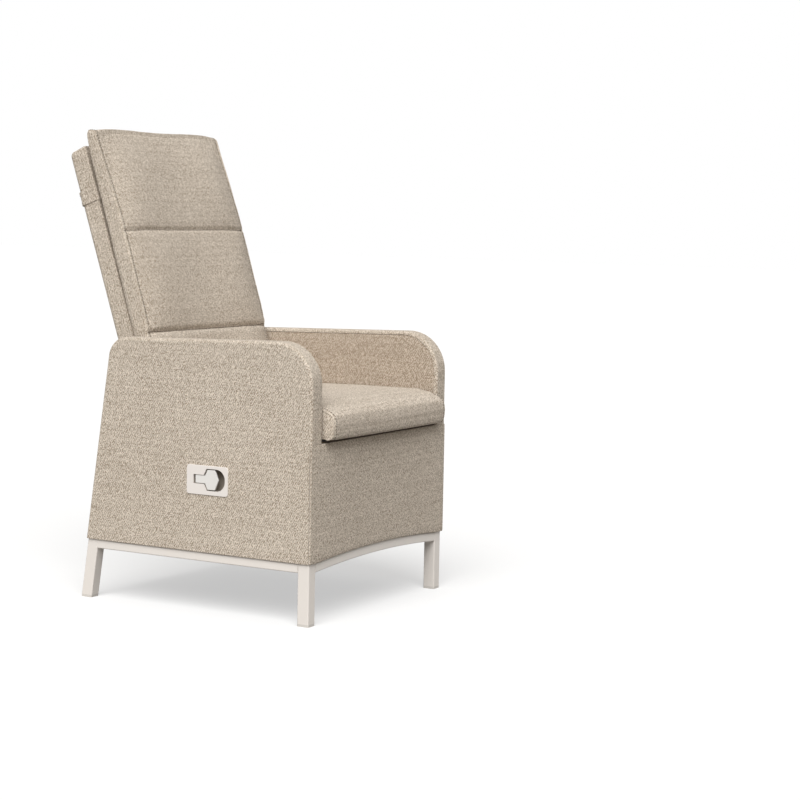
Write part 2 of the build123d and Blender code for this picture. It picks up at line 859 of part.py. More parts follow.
def gas_rod():
    """Rod with its piston, bored at the front for the release pin."""
    rod = rod_along("Y", (0, -rod_start, 0), rod_radius, piston_start + rod_start)
    bore_radius = cylinder_radius - cylinder_wall
    rod += rod_along("Y", (0, piston_start, 0), bore_radius - running_clearance, piston_length)
    bore_start = (0, -rod_start - overrun, 0)
    rod -= rod_along("Y", bore_start, release_pin_radius + running_clearance, rod_bore_depth + overrun)
    return on_spring(rod)


def lever_pin():
    start = (lever_pivot_x, -lever_pivot_ahead, -head_half_height)
    return on_spring(rod_along("Z", start, lever_pin_radius, head_half_height * 2))


def release_pin():
    """Pin in the rod that opens the gas valve when the lever presses it."""
    tip = lever_depth * 0.5 + release_pin_gap - lever_pivot_ahead
    end = rod_bore_depth - rod_start - cable_travel
    return on_spring(rod_along("Y", (0, tip, 0), release_pin_radius, end - tip))


def nipple_slot(arm, angle, play_radius):
    """Slot for a cable nipple, long enough for the arm's swing, in (along the arm, across)."""
    reach = arm / math.cos(math.radians(angle))
    middle = (arm + reach) * 0.5
    return Pos(middle, 0) * SlotCenterToCenter(reach - arm, play_radius * 2)


def wire_slit(start, across):
    """Slit that lets the wire swing out of an arm that runs along +X from its pivot."""
    reach = start + lever_arm
    return block((start, reach), across, (-wire_slit_half_height, wire_slit_half_height))


def release_lever():
    """Lever that crosses the head's slot and is pulled by the cable."""
    swing = math.degrees(math.atan(cable_travel / lever_arm))
    half = lever_depth * 0.5
    end = lever_arm + lever_end_radius + nipple_play
    bar = Pos(end * 0.5, 0) * Rectangle(end, lever_depth) + Circle(lever_end_radius)
    bar += Pos(lever_arm, 0) * Circle(nipple_radius + lever_end_radius * 0.5)
    bar -= Circle(lever_pin_radius + running_clearance)
    bar -= nipple_slot(lever_arm, swing, nipple_radius + nipple_play)
    lever = extrude(Pos(0, 0, -lever_half_height) * bar, lever_half_height * 2)
    lever -= wire_slit(lever_arm - nipple_radius - lever_end_radius, (-lever_depth, 0))
    return on_spring(Pos(lever_pivot_x, -lever_pivot_ahead, 0) * Rot(0, 0, 180) * lever)


def cable_end_spring():
    """Nipple in the lever's end, with the end of the cable's wire."""
    y = -lever_pivot_ahead
    bottom = (-lever_nipple_x, y, -nipple_half_height)
    nipple = rod_along("Z", bottom, nipple_radius, nipple_half_height * 2)
    wire = rod_along("Y", (-lever_nipple_x, y, 0), wire_radius, spring_wire_reach - y)
    return on_spring(nipple + wire)


def gas_cylinder():
    """Pressure tube, closed at the rear."""
    outer = rod_along("Y", (0, cylinder_start, 0), cylinder_radius, cylinder_end - cylinder_start)
    inner_radius = cylinder_radius - cylinder_wall
    inner_length = cylinder_end - cylinder_cap - cylinder_start + overrun
    inner = rod_along("Y", (0, cylinder_start - overrun, 0), inner_radius, inner_length)
    return on_spring(outer - inner)


def gas_guide():
    """Guide and seal at the cylinder's mouth."""
    guide = rod_along("Y", (0, cylinder_start, 0), cylinder_radius - cylinder_wall, guide_length)
    bore = rod_along("Y", (0, cylinder_start, 0), rod_radius + running_clearance, guide_length)
    return on_spring(guide - bore)


def gas_eye():
    """Eye at the cylinder's rear end, with play round the crank pin."""
    drop = crank_sagitta * eye_drop_share
    place = (-eye_half_width, spring_length, -drop)
    ring = rod_along("X", place, eye_bore_radius + eye_wall, eye_half_width * 2)
    neck = rod_along("Y", (0, cylinder_end, 0), eye_neck_radius, spring_length - cylinder_end)
    return on_spring(ring + neck - rod_along("X", place, eye_bore_radius, eye_half_width * 2))


def anchor_bracket():
    """U-shaped bracket under the middle cross tube that carries the head's trunnions."""
    inner = head_half_width + cheek_gap
    y = (seat_middle_y - cheek_half_depth, seat_middle_y + cheek_half_depth)
    plate_z = (seat_frame_bottom - cheek_thickness, seat_frame_bottom)
    bracket = block((-anchor_wing, anchor_wing), y, plate_z)
    for x in ((inner, inner + cheek_thickness), (-inner - cheek_thickness, -inner)):
        bracket += block(x, y, (anchor_z - cheek_below, seat_frame_bottom))
    hole_start = (-anchor_wing, seat_middle_y, anchor_z)
    bracket -= rod_along("X", hole_start, trunnion_radius + running_clearance, anchor_wing * 2)
    for x in (-anchor_screw_x, anchor_screw_x):
        bracket -= rod_along("Z", (x, seat_middle_y, plate_z[0]), screw_radius, cheek_thickness)
    return bracket


def seat_cross_middle():
    """Middle cross tube, drilled for the anchor's screws."""
    tube = seat_cross(seat_middle_y, seat_rail_inner_x)
    for x in (-anchor_screw_x, anchor_screw_x):
        tube -= rod_along("Z", (x, seat_middle_y, seat_frame_bottom), screw_radius, screw_length)
    return tube


def drilled_seat_rail():
    """Seat rail with the holes of its hinge bracket's screws."""
    rail = seat_rail()
    for y, z in bracket_screw_places():
        rail -= rod_along("X", (seat_rail_inner_x, y, z), screw_radius, screw_length)
    return rail


def handle_prism(face, depth_low, depth_high):
    """Solid from a face in (y, z), between two depths measured inwards from the right cover."""
    return side_prism(face, depth_low - cover_outer_x, depth_high - cover_outer_x)


def handle_opening(grow):
    """Opening of the handle in (y, z), grown by a margin: a well in front and a slot behind it."""
    face = outline(
        [
            (well_front_y, well_bottom_z),
            (well_rear_y, well_bottom_z),
            (slot_front_y, slot_bottom_z),
            (slot_rear_y, slot_bottom_z),
            (slot_rear_y, slot_top_z),
            (slot_front_y, slot_top_z),
            (well_rear_y, well_top_z),
            (well_front_y, well_top_z),
        ],
        [well_corner_radius, 0, 0, 0, 0, 0, 0, well_corner_radius],
    )
    return offset(face, grow, kind=Kind.INTERSECTION) if grow else face


def boss_start():
    """y of the rear wall's outer face, where the cable's boss begins."""
    return slot_rear_y + housing_wall


def handle_housing():
    """Bezel, finger well and cable boss in one moulding."""
    plate = Pos(handle_y, handle_z) * RectangleRounded(bezel_length, bezel_height, bezel_corner_radius)
    bezel = handle_prism(plate, -bezel_thickness, 0)
    bezel = fillet(bezel.faces().sort_by(Axis.X)[0].edges(), bezel_edge_radius)
    housing = bezel + handle_prism(handle_opening(housing_wall), 0, well_depth + housing_wall)
    boss_place = (nipple_x, slot_rear_y, paddle_arm_z)
    housing += rod_along("Y", boss_place, boss_radius, housing_wall + boss_length)
    housing -= handle_prism(handle_opening(0), -bezel_thickness - overrun, well_depth)
    wire_hole = rod_along("Y", boss_place, cable_bore_radius, boss_length)
    socket_start = (nipple_x, boss_start() + boss_wall, paddle_arm_z)
    housing -= wire_hole + rod_along("Y", socket_start, sheath_radius, boss_length)
    return housing - paddle_pin()


def paddle_pin():
    start = (paddle_pivot_x, paddle_pivot_y, slot_bottom_z - housing_wall)
    return rod_along("Z", start, paddle_pin_radius, slot_top_z - slot_bottom_z + housing_wall * 2)


def paddle_spring():
    """Small coil round the paddle's pin, above the barrel."""
    start = (paddle_pivot_x, paddle_pivot_y, slot_top_z - spring_wire_radius * 2 - spring_height)
    path = Helix(spring_pitch, spring_height, spring_coil_radius)
    profile = Plane(path @ 0, z_dir=path % 0) * Circle(spring_wire_radius)
    return Pos(*start) * sweep(profile, path)


def release_paddle():
    """Six-sided paddle with a tail, a barrel round its pin, and an inner arm for the cable."""
    low = slot_bottom_z + paddle_gap
    high = slot_top_z - paddle_gap
    head_low = well_bottom_z + paddle_head_edge
    head_high = well_top_z - paddle_head_edge
    middle = (head_low + head_high) * 0.5
    tail_end = paddle_pivot_y + paddle_tail_overhang
    face = outline(
        [
            (paddle_head_rear_y, head_low),
            (paddle_head_front_y, head_low),
            (paddle_nose_y, middle),
            (paddle_head_front_y, head_high),
            (paddle_head_rear_y, head_high),
            (paddle_neck_y, high),
            (tail_end, high),
            (tail_end, low),
            (paddle_neck_y, low),
        ],
        paddle_corner_radius,
    )
    plate = handle_prism(face, -bezel_thickness + paddle_proud, paddle_thickness - paddle_proud)
    plate = chamfer(plate.faces().sort_by(Axis.X)[0].edges(), paddle_edge_chamfer)
    place = (paddle_pivot_x, paddle_pivot_y, low)
    barrel = rod_along("Z", place, paddle_barrel_radius, paddle_barrel_height)
    reach = paddle_arm / math.cos(math.radians(paddle_range))
    reach += nipple_radius + nipple_play + housing_wall
    arm_y = (paddle_pivot_y - paddle_arm_half_width, paddle_pivot_y + paddle_arm_half_width)
    arm = block((paddle_pivot_x, paddle_pivot_x + reach), arm_y, (low, low + paddle_arm_height))
    slot_face = nipple_slot(paddle_arm, paddle_range, nipple_radius + nipple_play)
    arm -= extrude(Pos(paddle_pivot_x, paddle_pivot_y, low) * slot_face, paddle_arm_height)
    slit = wire_slit(paddle_barrel_radius, (0, paddle_arm_half_width + overrun))
    arm -= Pos(paddle_pivot_x, paddle_pivot_y, paddle_arm_z) * slit
    pin_start = (paddle_pivot_x, paddle_pivot_y, slot_bottom_z)
    bore = rod_along("Z", pin_start, paddle_pin_radius + running_clearance, slot_top_z - slot_bottom_z)
    return plate + barrel + arm - bore


def cable_end_handle():
    """Nipple in the paddle's arm, with the other end of the wire."""
    nipple_start = (nipple_x, paddle_pivot_y, paddle_arm_z - nipple_half_height)
    nipple = rod_along("Z", nipple_start, nipple_radius, nipple_half_height * 2)
    wire = rod_along("Y", (nipple_x, paddle_pivot_y, paddle_arm_z), wire_radius, handle_wire_length)
    return nipple + wire


def along_spring(distance):
    """Point on the wire's line beside the gas spring, at a distance behind the anchor."""
    tilt = math.radians(spring_tilt)
    y = seat_middle_y + distance * math.cos(tilt)
    return Vector(-lever_nipple_x, y, anchor_z + distance * math.sin(tilt))


def release_cable():
    """Sheath from the handle's boss, round in one wide bend under the seat, to the release head."""
    start = Vector(nipple_x, boss_start() + boss_wall, paddle_arm_z)
    end_along = lug_start + lug_length + sheath_end_gap
    end = along_spring(end_along)
    last_turn = along_spring(cable_last_turn)
    outer_x = cable_outer_turn_gap - seat_rail_inner_x
    inner_x = -cable_inner_turn_share * seat_rail_inner_x
    route = [
        tuple(start),
        (nipple_x, cable_first_turn_y, paddle_arm_z),
        (outer_x, cable_outer_turn_y, paddle_arm_z + cable_outer_turn_rise),
        (inner_x, cable_inner_turn_y, last_turn.Z - cable_inner_turn_drop),
        tuple(last_turn),
        tuple(end),
    ]
    radii = route_radii(route)
    print("cable bend radii:", [round(radius) for radius in radii])
    path = FilletPolyline(*route, radius=radii)
    sheath = sweep(Plane(start, z_dir=(0, 1, 0)) * Circle(sheath_radius), path)
    filled = sheath.volume / (Circle(sheath_radius).area * path.length)
    print("cable volume over section times length:", round(filled, 4))
    sheath -= rod_along("Y", tuple(start), cable_bore_radius, sheath_bore_depth)
    end_place = (-lever_nipple_x, end_along, 0)
    return sheath - on_spring(rod_along("Y", end_place, cable_bore_radius, sheath_spring_bore_depth))


def route_radii(route):
    """Largest arcs that the two runs at each inner point allow."""
    points = [Vector(*point) for point in route]
    radii = []
    for before, point, after in zip(points, points[1:], points[2:]):
        run_in = point - before
        run_out = after - point
        turn = math.radians(run_in.get_angle(run_out))
        radii.append(0.45 * min(run_in.length, run_out.length) / math.tan(turn * 0.5))
    return radii


def both_sides(name, shape):
    """A piece of the +X side and its mirror image, under their two names."""
    return {name + "_left": shape, name + "_right": mirrored(shape)}


def base_pieces():
    """Everything that stays still when the chair stands on the floor."""
    hole_depth = cover_side_thickness + board_thickness + overrun
    handle_hole = handle_prism(handle_opening(housing_wall), -overrun, hole_depth)
    caps = foot_glides()
    pieces = {}
    pieces.update(both_sides("side_hoop", side_hoop()))
    pieces.update(both_sides("side_rail", side_rail()))
    pieces.update(both_sides("side_board", side_board()))
    pieces.update(both_sides("side_cover", side_cover()))
    pieces.update(both_sides("arm_inner_pad", arm_inner_pad()))
    pieces["side_board_right"] -= handle_hole
    pieces["side_cover_right"] -= handle_hole
    pieces["front_rail"] = front_rail()
    pieces["rear_rail"] = rear_rail()
    pieces["foot_glides"] = caps + [mirrored(cap) for cap in caps]
    pieces["front_board"] = front_board()
    pieces["front_cover"] = front_cover()
    pieces["rear_panel"] = rear_panel()
    pieces["seat_cross_front"] = seat_cross(board_thickness + seat_tube_width * 0.5, tube_inner_x)
    pieces["seat_cross_middle"] = seat_cross_middle()
    pieces["seat_cross_back"] = seat_cross(seat_back_y, seat_rail_inner_x)
    pieces["seat_cross_rear"] = seat_cross(seat_rear_y(), tube_inner_x)
    pieces.update(both_sides("seat_rail", drilled_seat_rail()))
    pieces["seat_straps_cross"] = seat_straps_cross()
    pieces["seat_straps_long"] = seat_straps_long()
    pieces["seat_cushion"] = seat_cushion()
    pieces.update(both_sides("hinge_bracket", hinge_bracket()))
    pieces["pivot_bushes"] = [pivot_bush(), mirrored(pivot_bush())]
    pieces["bracket_screws"] = bracket_screws()
    pieces["anchor_bracket"] = anchor_bracket()
    pieces["handle_housing"] = handle_housing()
    pieces["paddle_pin"] = paddle_pin()
    pieces["paddle_spring"] = paddle_spring()
    pieces["release_cable"] = release_cable()
    return pieces


def back_pieces():
    """Everything that leans with the back."""
    pieces = both_sides("hinge_plate", hinge_plate())
    pieces["back_frame"] = back_frame()
    pieces["back_cross_bar"] = back_cross_bar()
    pieces["back_straps"] = back_straps()
    pieces["torque_tube"] = torque_tube()
    pieces["crank_plates"] = crank_plates()
    pieces["crank_pin"] = crank_pin()
    pieces["pivot_bolts"] = [pivot_bolt(), mirrored(pivot_bolt())]
    pieces["pivot_nuts"] = [pivot_nut(), mirrored(pivot_nut())]
    pieces["back_shell_rear"] = back_shell_rear()
    pieces["back_shell_front"] = back_shell_front()
    pieces["back_cushion"] = back_cushion()
    pieces["cushion_strap"] = cushion_strap()
    return pieces


def release_pieces():
    """Gas spring, release lever, pin and paddle."""
    return {
        "release_head": release_head(),
        "gas_rod": gas_rod(),
        "lever_pin": lever_pin(),
        "gas_cylinder": gas_cylinder(),
        "gas_guide": gas_guide(),
        "gas_eye": gas_eye(),
        "release_lever": release_lever(),
        "release_pin": release_pin(),
        "cable_end_spring": cable_end_spring(),
        "release_paddle": release_paddle(),
        "cable_end_handle": cable_end_handle(),
    }


def joint_places(shift):
    """Prints the joint centres and directions in the finished frame, in metres."""
    tilt = math.radians(spring_tilt)
    places = {
        "recline": (0, pivot_y, pivot_z),
        "spring_tilt": (0, seat_middle_y, anchor_z),
        "lever": (
            lever_pivot_x,
            seat_middle_y - lever_pivot_ahead * math.cos(tilt),
            anchor_z - lever_pivot_ahead * math.sin(tilt),
        ),
        "paddle": (paddle_pivot_x, paddle_pivot_y, handle_z),
    }
    for name, place in places.items():
        moved = Vector(*place) + shift
        print(name, [round(value / 1000, 6) for value in moved])
    print("spring direction", [0, round(math.cos(tilt), 6), round(math.sin(tilt), 6)])
    print("lever swing in degrees", round(math.degrees(math.atan(cable_travel / lever_arm)), 4))
    print("cable travel", round(cable_travel, 4), "eye bore", round(eye_bore_radius, 3))


def main():
    pieces = {**base_pieces(), **back_pieces(), **release_pieces()}
    shapes = {}
    for name, piece in pieces.items():
        solids = piece if isinstance(piece, list) else [piece]
        shapes[name] = Compound(children=[solid for part in solids for solid in part.solids()])
    whole = Compound(list(shapes.values())).bounding_box()
    shift = Vector(0, -(whole.min.Y + whole.max.Y) * 0.5, 0)
    print("whole size", whole.size, "moved by", shift)
    joint_places(shift)
    os.makedirs("parts", exist_ok=True)
    for name, shape in shapes.items():
        export_step(Pos(shift) * shape, "parts/" + name + ".step")


main()
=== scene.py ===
import json
import math

import bmesh
import bpy
import numpy as np
from mathutils import Matrix, Vector
from mathutils.bvhtree import BVHTree


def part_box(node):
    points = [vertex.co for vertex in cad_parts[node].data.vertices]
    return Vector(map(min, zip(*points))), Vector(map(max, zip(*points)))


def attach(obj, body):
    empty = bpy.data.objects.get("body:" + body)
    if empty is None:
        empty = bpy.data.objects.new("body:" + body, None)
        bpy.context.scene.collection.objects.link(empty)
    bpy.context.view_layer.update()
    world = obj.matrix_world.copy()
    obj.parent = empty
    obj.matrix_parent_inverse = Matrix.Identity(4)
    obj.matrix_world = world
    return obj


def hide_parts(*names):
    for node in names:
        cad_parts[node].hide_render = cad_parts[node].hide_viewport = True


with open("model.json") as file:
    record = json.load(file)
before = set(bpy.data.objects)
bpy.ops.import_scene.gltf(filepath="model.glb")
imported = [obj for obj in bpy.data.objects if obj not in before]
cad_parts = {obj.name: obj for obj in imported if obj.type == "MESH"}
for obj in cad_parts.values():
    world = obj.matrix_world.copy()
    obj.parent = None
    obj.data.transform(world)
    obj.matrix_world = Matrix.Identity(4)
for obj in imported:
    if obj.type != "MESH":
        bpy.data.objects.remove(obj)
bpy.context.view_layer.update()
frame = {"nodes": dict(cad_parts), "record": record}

bl_info = {
    "name": "Reclining garden armchair",
    "version": (1, 0, 0),
    "blender": (4, 5, 0),
    "location": "View3D > Sidebar > Armchair",
    "description": "Upholstery, finishes and studio for a reclining garden armchair",
    "category": "Object",
}

# Places in metres. The sitter faces -Y and the release paddle is on the -X side.
SIDES = ((1, "left"), (-1, "right"))
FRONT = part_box("side_hoop_left")[0].y
RAIL_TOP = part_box("side_rail_left")[1].z
SEAM_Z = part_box("front_cover")[1].z
COVER_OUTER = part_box("side_cover_left")[1].x
COVER_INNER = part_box("side_cover_left")[0].x
TUBE_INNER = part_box("side_hoop_left")[0].x

# The sides: top and rear line of the hoop, and what the fabric adds at its front, top and rear.
TOP_AT_FRONT = 0.631
TOP_SLOPE = math.radians(1.4)
SIDE_DEPTH = 0.646
REAR_FOOT = FRONT + SIDE_DEPTH
REAR_RAKE = math.radians(8.2)
FRONT_BEND = 0.090
REAR_BEND = 0.042
CORNER_STEPS = 20
SIDE_MARGINS = (0.005, 0.010, 0.005)
WEAVE_MARGIN = 0.006
COVER_THICKNESS = 0.0022
PAD_ROUND = 0.0035

# The front and rear panels.
FRONT_RISE = 0.012
APRON_DROP = 0.009
APRON_DEPTH = 0.005
REAR_DEPTH = 0.0105

# The cushions.
CUSHION_VOXEL = 0.0055
SWELL_PRESSURE = 4.0
SEAT_HALF_WIDTH = 0.257
SEAT_SEAM_INSET = 0.009
SEAT_RISE = 0.070
SEAT_FALL = 0.023
SEAT_PROFILE = (
    (-0.0285, 0.4236), (-0.0312, 0.4265), (-0.0328, 0.4450), (-0.0325, 0.4650), (-0.0310, 0.4735),
    (-0.0270, 0.4785), (-0.0054, 0.4905), (0.0175, 0.4975), (0.0450, 0.4995), (0.0900, 0.5000),
)
SEAT_PROFILE_CENTRE = np.array((0.012, 0.452))

# The back, upright in a frame of its own that leans on the pivot.
PIVOT = Vector((0, 0.159651, 0.445))
LEAN = math.radians(18.5)
ON_BACK = Matrix.Translation(PIVOT) @ Matrix.Rotation(-LEAN, 4, "X")
SEAM_HEIGHTS = (0.178, 0.428)
BACK_HALF_WIDTH = 0.240
BACK_REACH = 0.250
BACK_SEAM_INSET = 0.0085
BACK_FOOT = 0.020
BACK_FRONT = -0.074
BACK_REAR = -0.0228
ROLL_START = 0.60
ROLL_TOP = 0.690
ROLL_CORNER = 0.020
CHANNEL_ROUND = 0.013
CHANNEL_RISE = 0.0075
CHANNEL_CROWN = 0.005
CHANNELS_END = 0.652
SHELL_SIDE = 0.238
SHELL_FRONT = -0.021
SHELL_REAR = 0.032
SHELL_FOOT = 0.024
SHELL_TOP = 0.6575
SHELL_ROUND = 0.014
SHELL_FRONT_ROUND = 0.004
BAND_LOW = 0.5245
BAND_HIGH = 0.5555
BAND_HEM = 0.005

# Straps, welts and stitches.
STRAP_WIDTH = 0.045
STRAP_THICKNESS = 0.0012
STRAP_FOLD = 0.020
SEAT_WELT = (0.0019, 0.0004)
BACK_WELT = (0.0014, 0.0001)
STITCH_PITCH = 0.0060
STITCH_LENGTH = 0.0046
STITCH_WIDTH = 0.0022


class Wire:
    """A shader value that can be written in sums and products."""

    def __init__(self, sheet, socket):
        self.sheet = sheet
        self.socket = socket

    def maths(self, operation, *others):
        values = {place: value for place, value in enumerate((self, *others))}
        return self.sheet.node("ShaderNodeMath", {"operation": operation}, values)

    def output(self, place):
        """Another output of the same node, by its number or name."""
        return Wire(self.sheet, self.socket.node.outputs[place])

    def limited(self):
        """The value, kept between 0 and 1."""
        return self.maths("MINIMUM", 1.0).maths("MAXIMUM", 0.0)

    def __add__(self, other):
        return self.maths("ADD", other)

    def __sub__(self, other):
        return self.maths("SUBTRACT", other)

    def __mul__(self, other):
        return self.maths("MULTIPLY", other)

    def __mod__(self, other):
        return self.maths("FLOORED_MODULO", other)

    def __lt__(self, other):
        return self.maths("LESS_THAN", other)

    def __rsub__(self, other):
        return self.sheet.node("ShaderNodeMath", {"operation": "SUBTRACT"}, {0: other, 1: self})

    __radd__ = __add__
    __rmul__ = __mul__


class Sheet:
    """A tree of shader nodes."""

    def __init__(self, tree):
        self.tree = tree

    def node(self, kind, settings=None, values=None, output=0):
        made = self.tree.nodes.new(kind)
        for key, value in (settings or {}).items():
            setattr(made, key, value)
        for key, value in (values or {}).items():
            self.feed(made.inputs[key], value)
        return Wire(self, made.outputs[output])

    def feed(self, socket, value):
        if isinstance(value, Wire):
            self.tree.links.new(value.socket, socket)
        else:
            socket.default_value = value

    def seen(self):
        """1 where the camera, a mirror or glass sees it, and 0 for light on its way round."""
        rays = self.node("ShaderNodeLightPath")
        mirrored = rays.maths("MAXIMUM", rays.output("Is Glossy Ray"))
        return mirrored.maths("MAXIMUM", rays.output("Is Transmission Ray"))


class Finish(Sheet):
    """One material and its nodes."""

    def __init__(self, name, **constants):
        self.material = bpy.data.materials.new(name)
        self.material.use_nodes = True
        super().__init__(self.material.node_tree)
        self.shader = self.tree.nodes["Principled BSDF"]
        for socket, value in constants.items():
            self.shader.inputs[socket.replace("_", " ")].default_value = value

    def set(self, socket, value):
        self.feed(self.shader.inputs[socket], value)

    def blend(self, share, first, second):
        """Colour between two colours."""
        values = {0: share, 6: first, 7: second}
        return self.node("ShaderNodeMix", {"data_type": "RGBA"}, values, output=2)

    def place(self):
        """Position on the object, in metres."""
        return self.node("ShaderNodeTexCoord", output=3)

    def spread(self):
        """Position on the fabric, in metres."""
        return self.node("ShaderNodeUVMap", {"uv_map": "weave"})

    def parts(self, vector):
        return self.node("ShaderNodeSeparateXYZ", values={0: vector})

    def joined(self, **parts):
        return self.node("ShaderNodeCombineXYZ", values=parts)

    def noise(self, vector, scale, detail=2.0, roughness=0.5):
        values = {"Vector": vector, "Scale": scale, "Detail": detail, "Roughness": roughness}
        return self.node("ShaderNodeTexNoise", values=values)

    def bump(self, height, distance, strength):
        values = {"Height": height, "Distance": distance, "Strength": strength}
        self.set("Normal", self.node("ShaderNodeBump", values=values))


def colour(red, green, blue):
    """Shader colour from the usual 0 to 255 values."""
    linear = []
    for value in (red, green, blue):
        share = value / 255
        linear.append(share / 12.92 if share <= 0.04045 else ((share + 0.055) / 1.055) ** 2.4)
    return (*linear, 1.0)


def written(value):
    """Shader colour from a colour property."""
    return colour(*(255 * part for part in value))


def toned(base, share):
    """A colour made darker or lighter."""
    return [part * share for part in base]


# Finishes


def tweed(name, light, dark, pitch):
    """Woven fabric: a twill of light and dark threads, each crossing with a shade of its own."""
    cloth = Finish(
        name, Roughness=0.92, Specular_IOR_Level=0.2, Sheen_Weight=0.1, Sheen_Roughness=0.6,
    )
    spread = cloth.spread()
    parts = cloth.parts(spread)
    sway = (cloth.noise(spread, 70.0) - 0.5) * 1.6
    across = parts * (1 / pitch) + sway
    along = parts.output(1) * (1 / (pitch * 1.6)) + sway
    column = across.maths("FLOOR")
    row = along.maths("FLOOR")
    wander = cloth.noise(spread, 130.0, 1.0)
    warp_over = (column + row + wander * 2) % 4.0 < 2.0
    crossing = {"Vector": cloth.joined(X=column, Y=row)}
    shade = cloth.node("ShaderNodeTexWhiteNoise", {"noise_dimensions": "2D"}, crossing)
    yarn = cloth.node("ShaderNodeTexWhiteNoise", {"noise_dimensions": "1D"}, {"W": row})
    column_share = across.maths("FRACT")
    row_share = along.maths("FRACT")
    warp = column_share * (1 - column_share) * 4
    weft = row_share * (1 - row_share) * 4
    height = weft + warp_over * (warp - weft)
    slub = cloth.noise(cloth.joined(X=parts * 0.5, Y=parts.output(1) * 1.3), 420.0, 1.0)
    cloud = cloth.noise(cloth.place(), 6.0)
    single = (shade - 0.5) * 1.3 + (slub - 0.5) * 1.2
    uneven = single + (yarn - 0.5) * 0.2 + (cloud - 0.5) * 0.25
    share = (warp_over * 0.6 + 0.23 + uneven).limited()
    # Each thread is made darker towards its edges by its height: painted shade in the dips between
    # threads.
    cloth.set("Base Color", cloth.blend(share * (height * 0.35 + 0.65), dark, light))
    cloth.set("Roughness", 0.97 - height * 0.1)
    cloth.bump(height + uneven * 0.35, 0.0005, 0.7)
    return cloth.material


def powder_coat(name, base, gloss=0.42):
    paint = Finish(name, Roughness=gloss, Specular_IOR_Level=0.4)
    grain = paint.noise(paint.place(), 900.0)
    cloud = paint.noise(paint.place(), 6.0)
    share = (cloud * 0.5 + grain * 0.5 - 0.5) * 0.8 + 0.5
    paint.set("Base Color", paint.blend(share, toned(base, 0.95), toned(base, 1.04)))
    paint.set("Roughness", gloss + (grain - 0.5) * 0.16)
    paint.bump(grain, 0.00012, 0.6)
    return paint.material


def plain_metal(name, base, gloss):
    """Bare or plated metal with fine drawn marks."""
    metal = Finish(name, Roughness=gloss, Metallic=1.0)
    place = metal.place()
    mark = metal.noise(place, 350.0, 3.0, 0.6)
    stain = metal.noise(place, 18.0, 3.0)
    metal.set("Base Color", metal.blend(mark * 0.5 + stain * 0.5, toned(base, 0.82), base))
    metal.set("Roughness", gloss + (mark - 0.5) * 0.2 + (stain - 0.5) * 0.12)
    metal.bump(mark, 0.00004, 0.5)
    return metal.material


def moulded(name, base, gloss):
    """Moulded plastic with a fine spark-eroded grain."""
    plastic = Finish(name, Roughness=gloss, Specular_IOR_Level=0.45)
    place = plastic.place()
    grain = plastic.noise(place, 1400.0)
    cloud = plastic.noise(place, 30.0)
    plastic.set("Base Color", plastic.blend(cloud, toned(base, 0.96), toned(base, 1.02)))
    plastic.set("Roughness", gloss + (grain - 0.5) * 0.2)
    plastic.bump(grain, 0.00006, 0.5)
    return plastic.material


def handle_plate_shaded_well(name, face, well):
    """Moulded plate whose finger well is painted darker inside: painted shade in the recess."""
    plate = Finish(name, Roughness=0.38, Specular_IOR_Level=0.45)
    place = plate.place()
    depth = plate.parts(place) + COVER_OUTER
    # Painted shade: whatever lies more than about a millimetre behind the cover's face takes the
    # dark well colour.
    inside = (depth * 1500 - 0.6).limited()
    grain = plate.noise(place, 1400.0)
    tint = plate.blend(grain, toned(face, 0.97), toned(face, 1.02))
    plate.set("Base Color", plate.blend(inside, tint, well))
    plate.set("Roughness", grain * 0.2 + 0.28)
    plate.bump(grain, 0.00006, 0.5)
    return plate.material


def plywood_shade_dark(name):
    """Plywood with its grain, made dark so that its edge, seen in the gap under the seat cushion's
    front, stands in as painted shade there.
    """
    wood = Finish(name, Roughness=0.7, Specular_IOR_Level=0.3)
    parts = wood.parts(wood.place())
    stretched = wood.joined(X=parts * 4, Y=parts.output(1) * 30, Z=parts.output(2) * 4)
    grain = wood.noise(stretched, 6.0, 5.0, 0.65)
    pore = wood.noise(stretched, 60.0)
    share = grain * 0.75 + pore * 0.25
    # Dark browns: painted shade for the gap below the seat cushion's overhang, over the wood's own
    # grain.
    wood.set("Base Color", wood.blend(share, colour(58, 47, 38), colour(88, 73, 58)))
    wood.bump(share, 0.0002, 0.5)
    return wood.material


def webbing_finish(name):
    """Woven elastic webbing with ribs along its length."""
    web = Finish(name, Roughness=0.85, Specular_IOR_Level=0.25)
    spread = web.spread()
    parts = web.parts(spread)
    rib = (parts * 2200).maths("SINE") * 0.5 + 0.5
    pick_mark = (parts.output(1) * 3100).maths("SINE") * 0.5 + 0.5
    height = rib * 0.7 + pick_mark * 0.3
    fibre = web.noise(spread, 500.0)
    # Colour follows the rib height: painted shade in the grooves between ribs and lighter crests,
    # with random fibre tone.
    share = height * 0.6 + fibre * 0.4
    web.set("Base Color", web.blend(share, colour(92, 86, 80), colour(158, 150, 140)))
    web.bump(height, 0.0003, 0.8)
    return web.material


def thread_finish(name, base):
    yarn = Finish(name, Roughness=0.75, Specular_IOR_Level=0.3)
    ply = yarn.noise(yarn.place(), 1600.0)
    yarn.set("Base Color", yarn.blend(ply, toned(base, 0.8), base))
    yarn.bump(ply, 0.0002, 0.6)
    return yarn.material


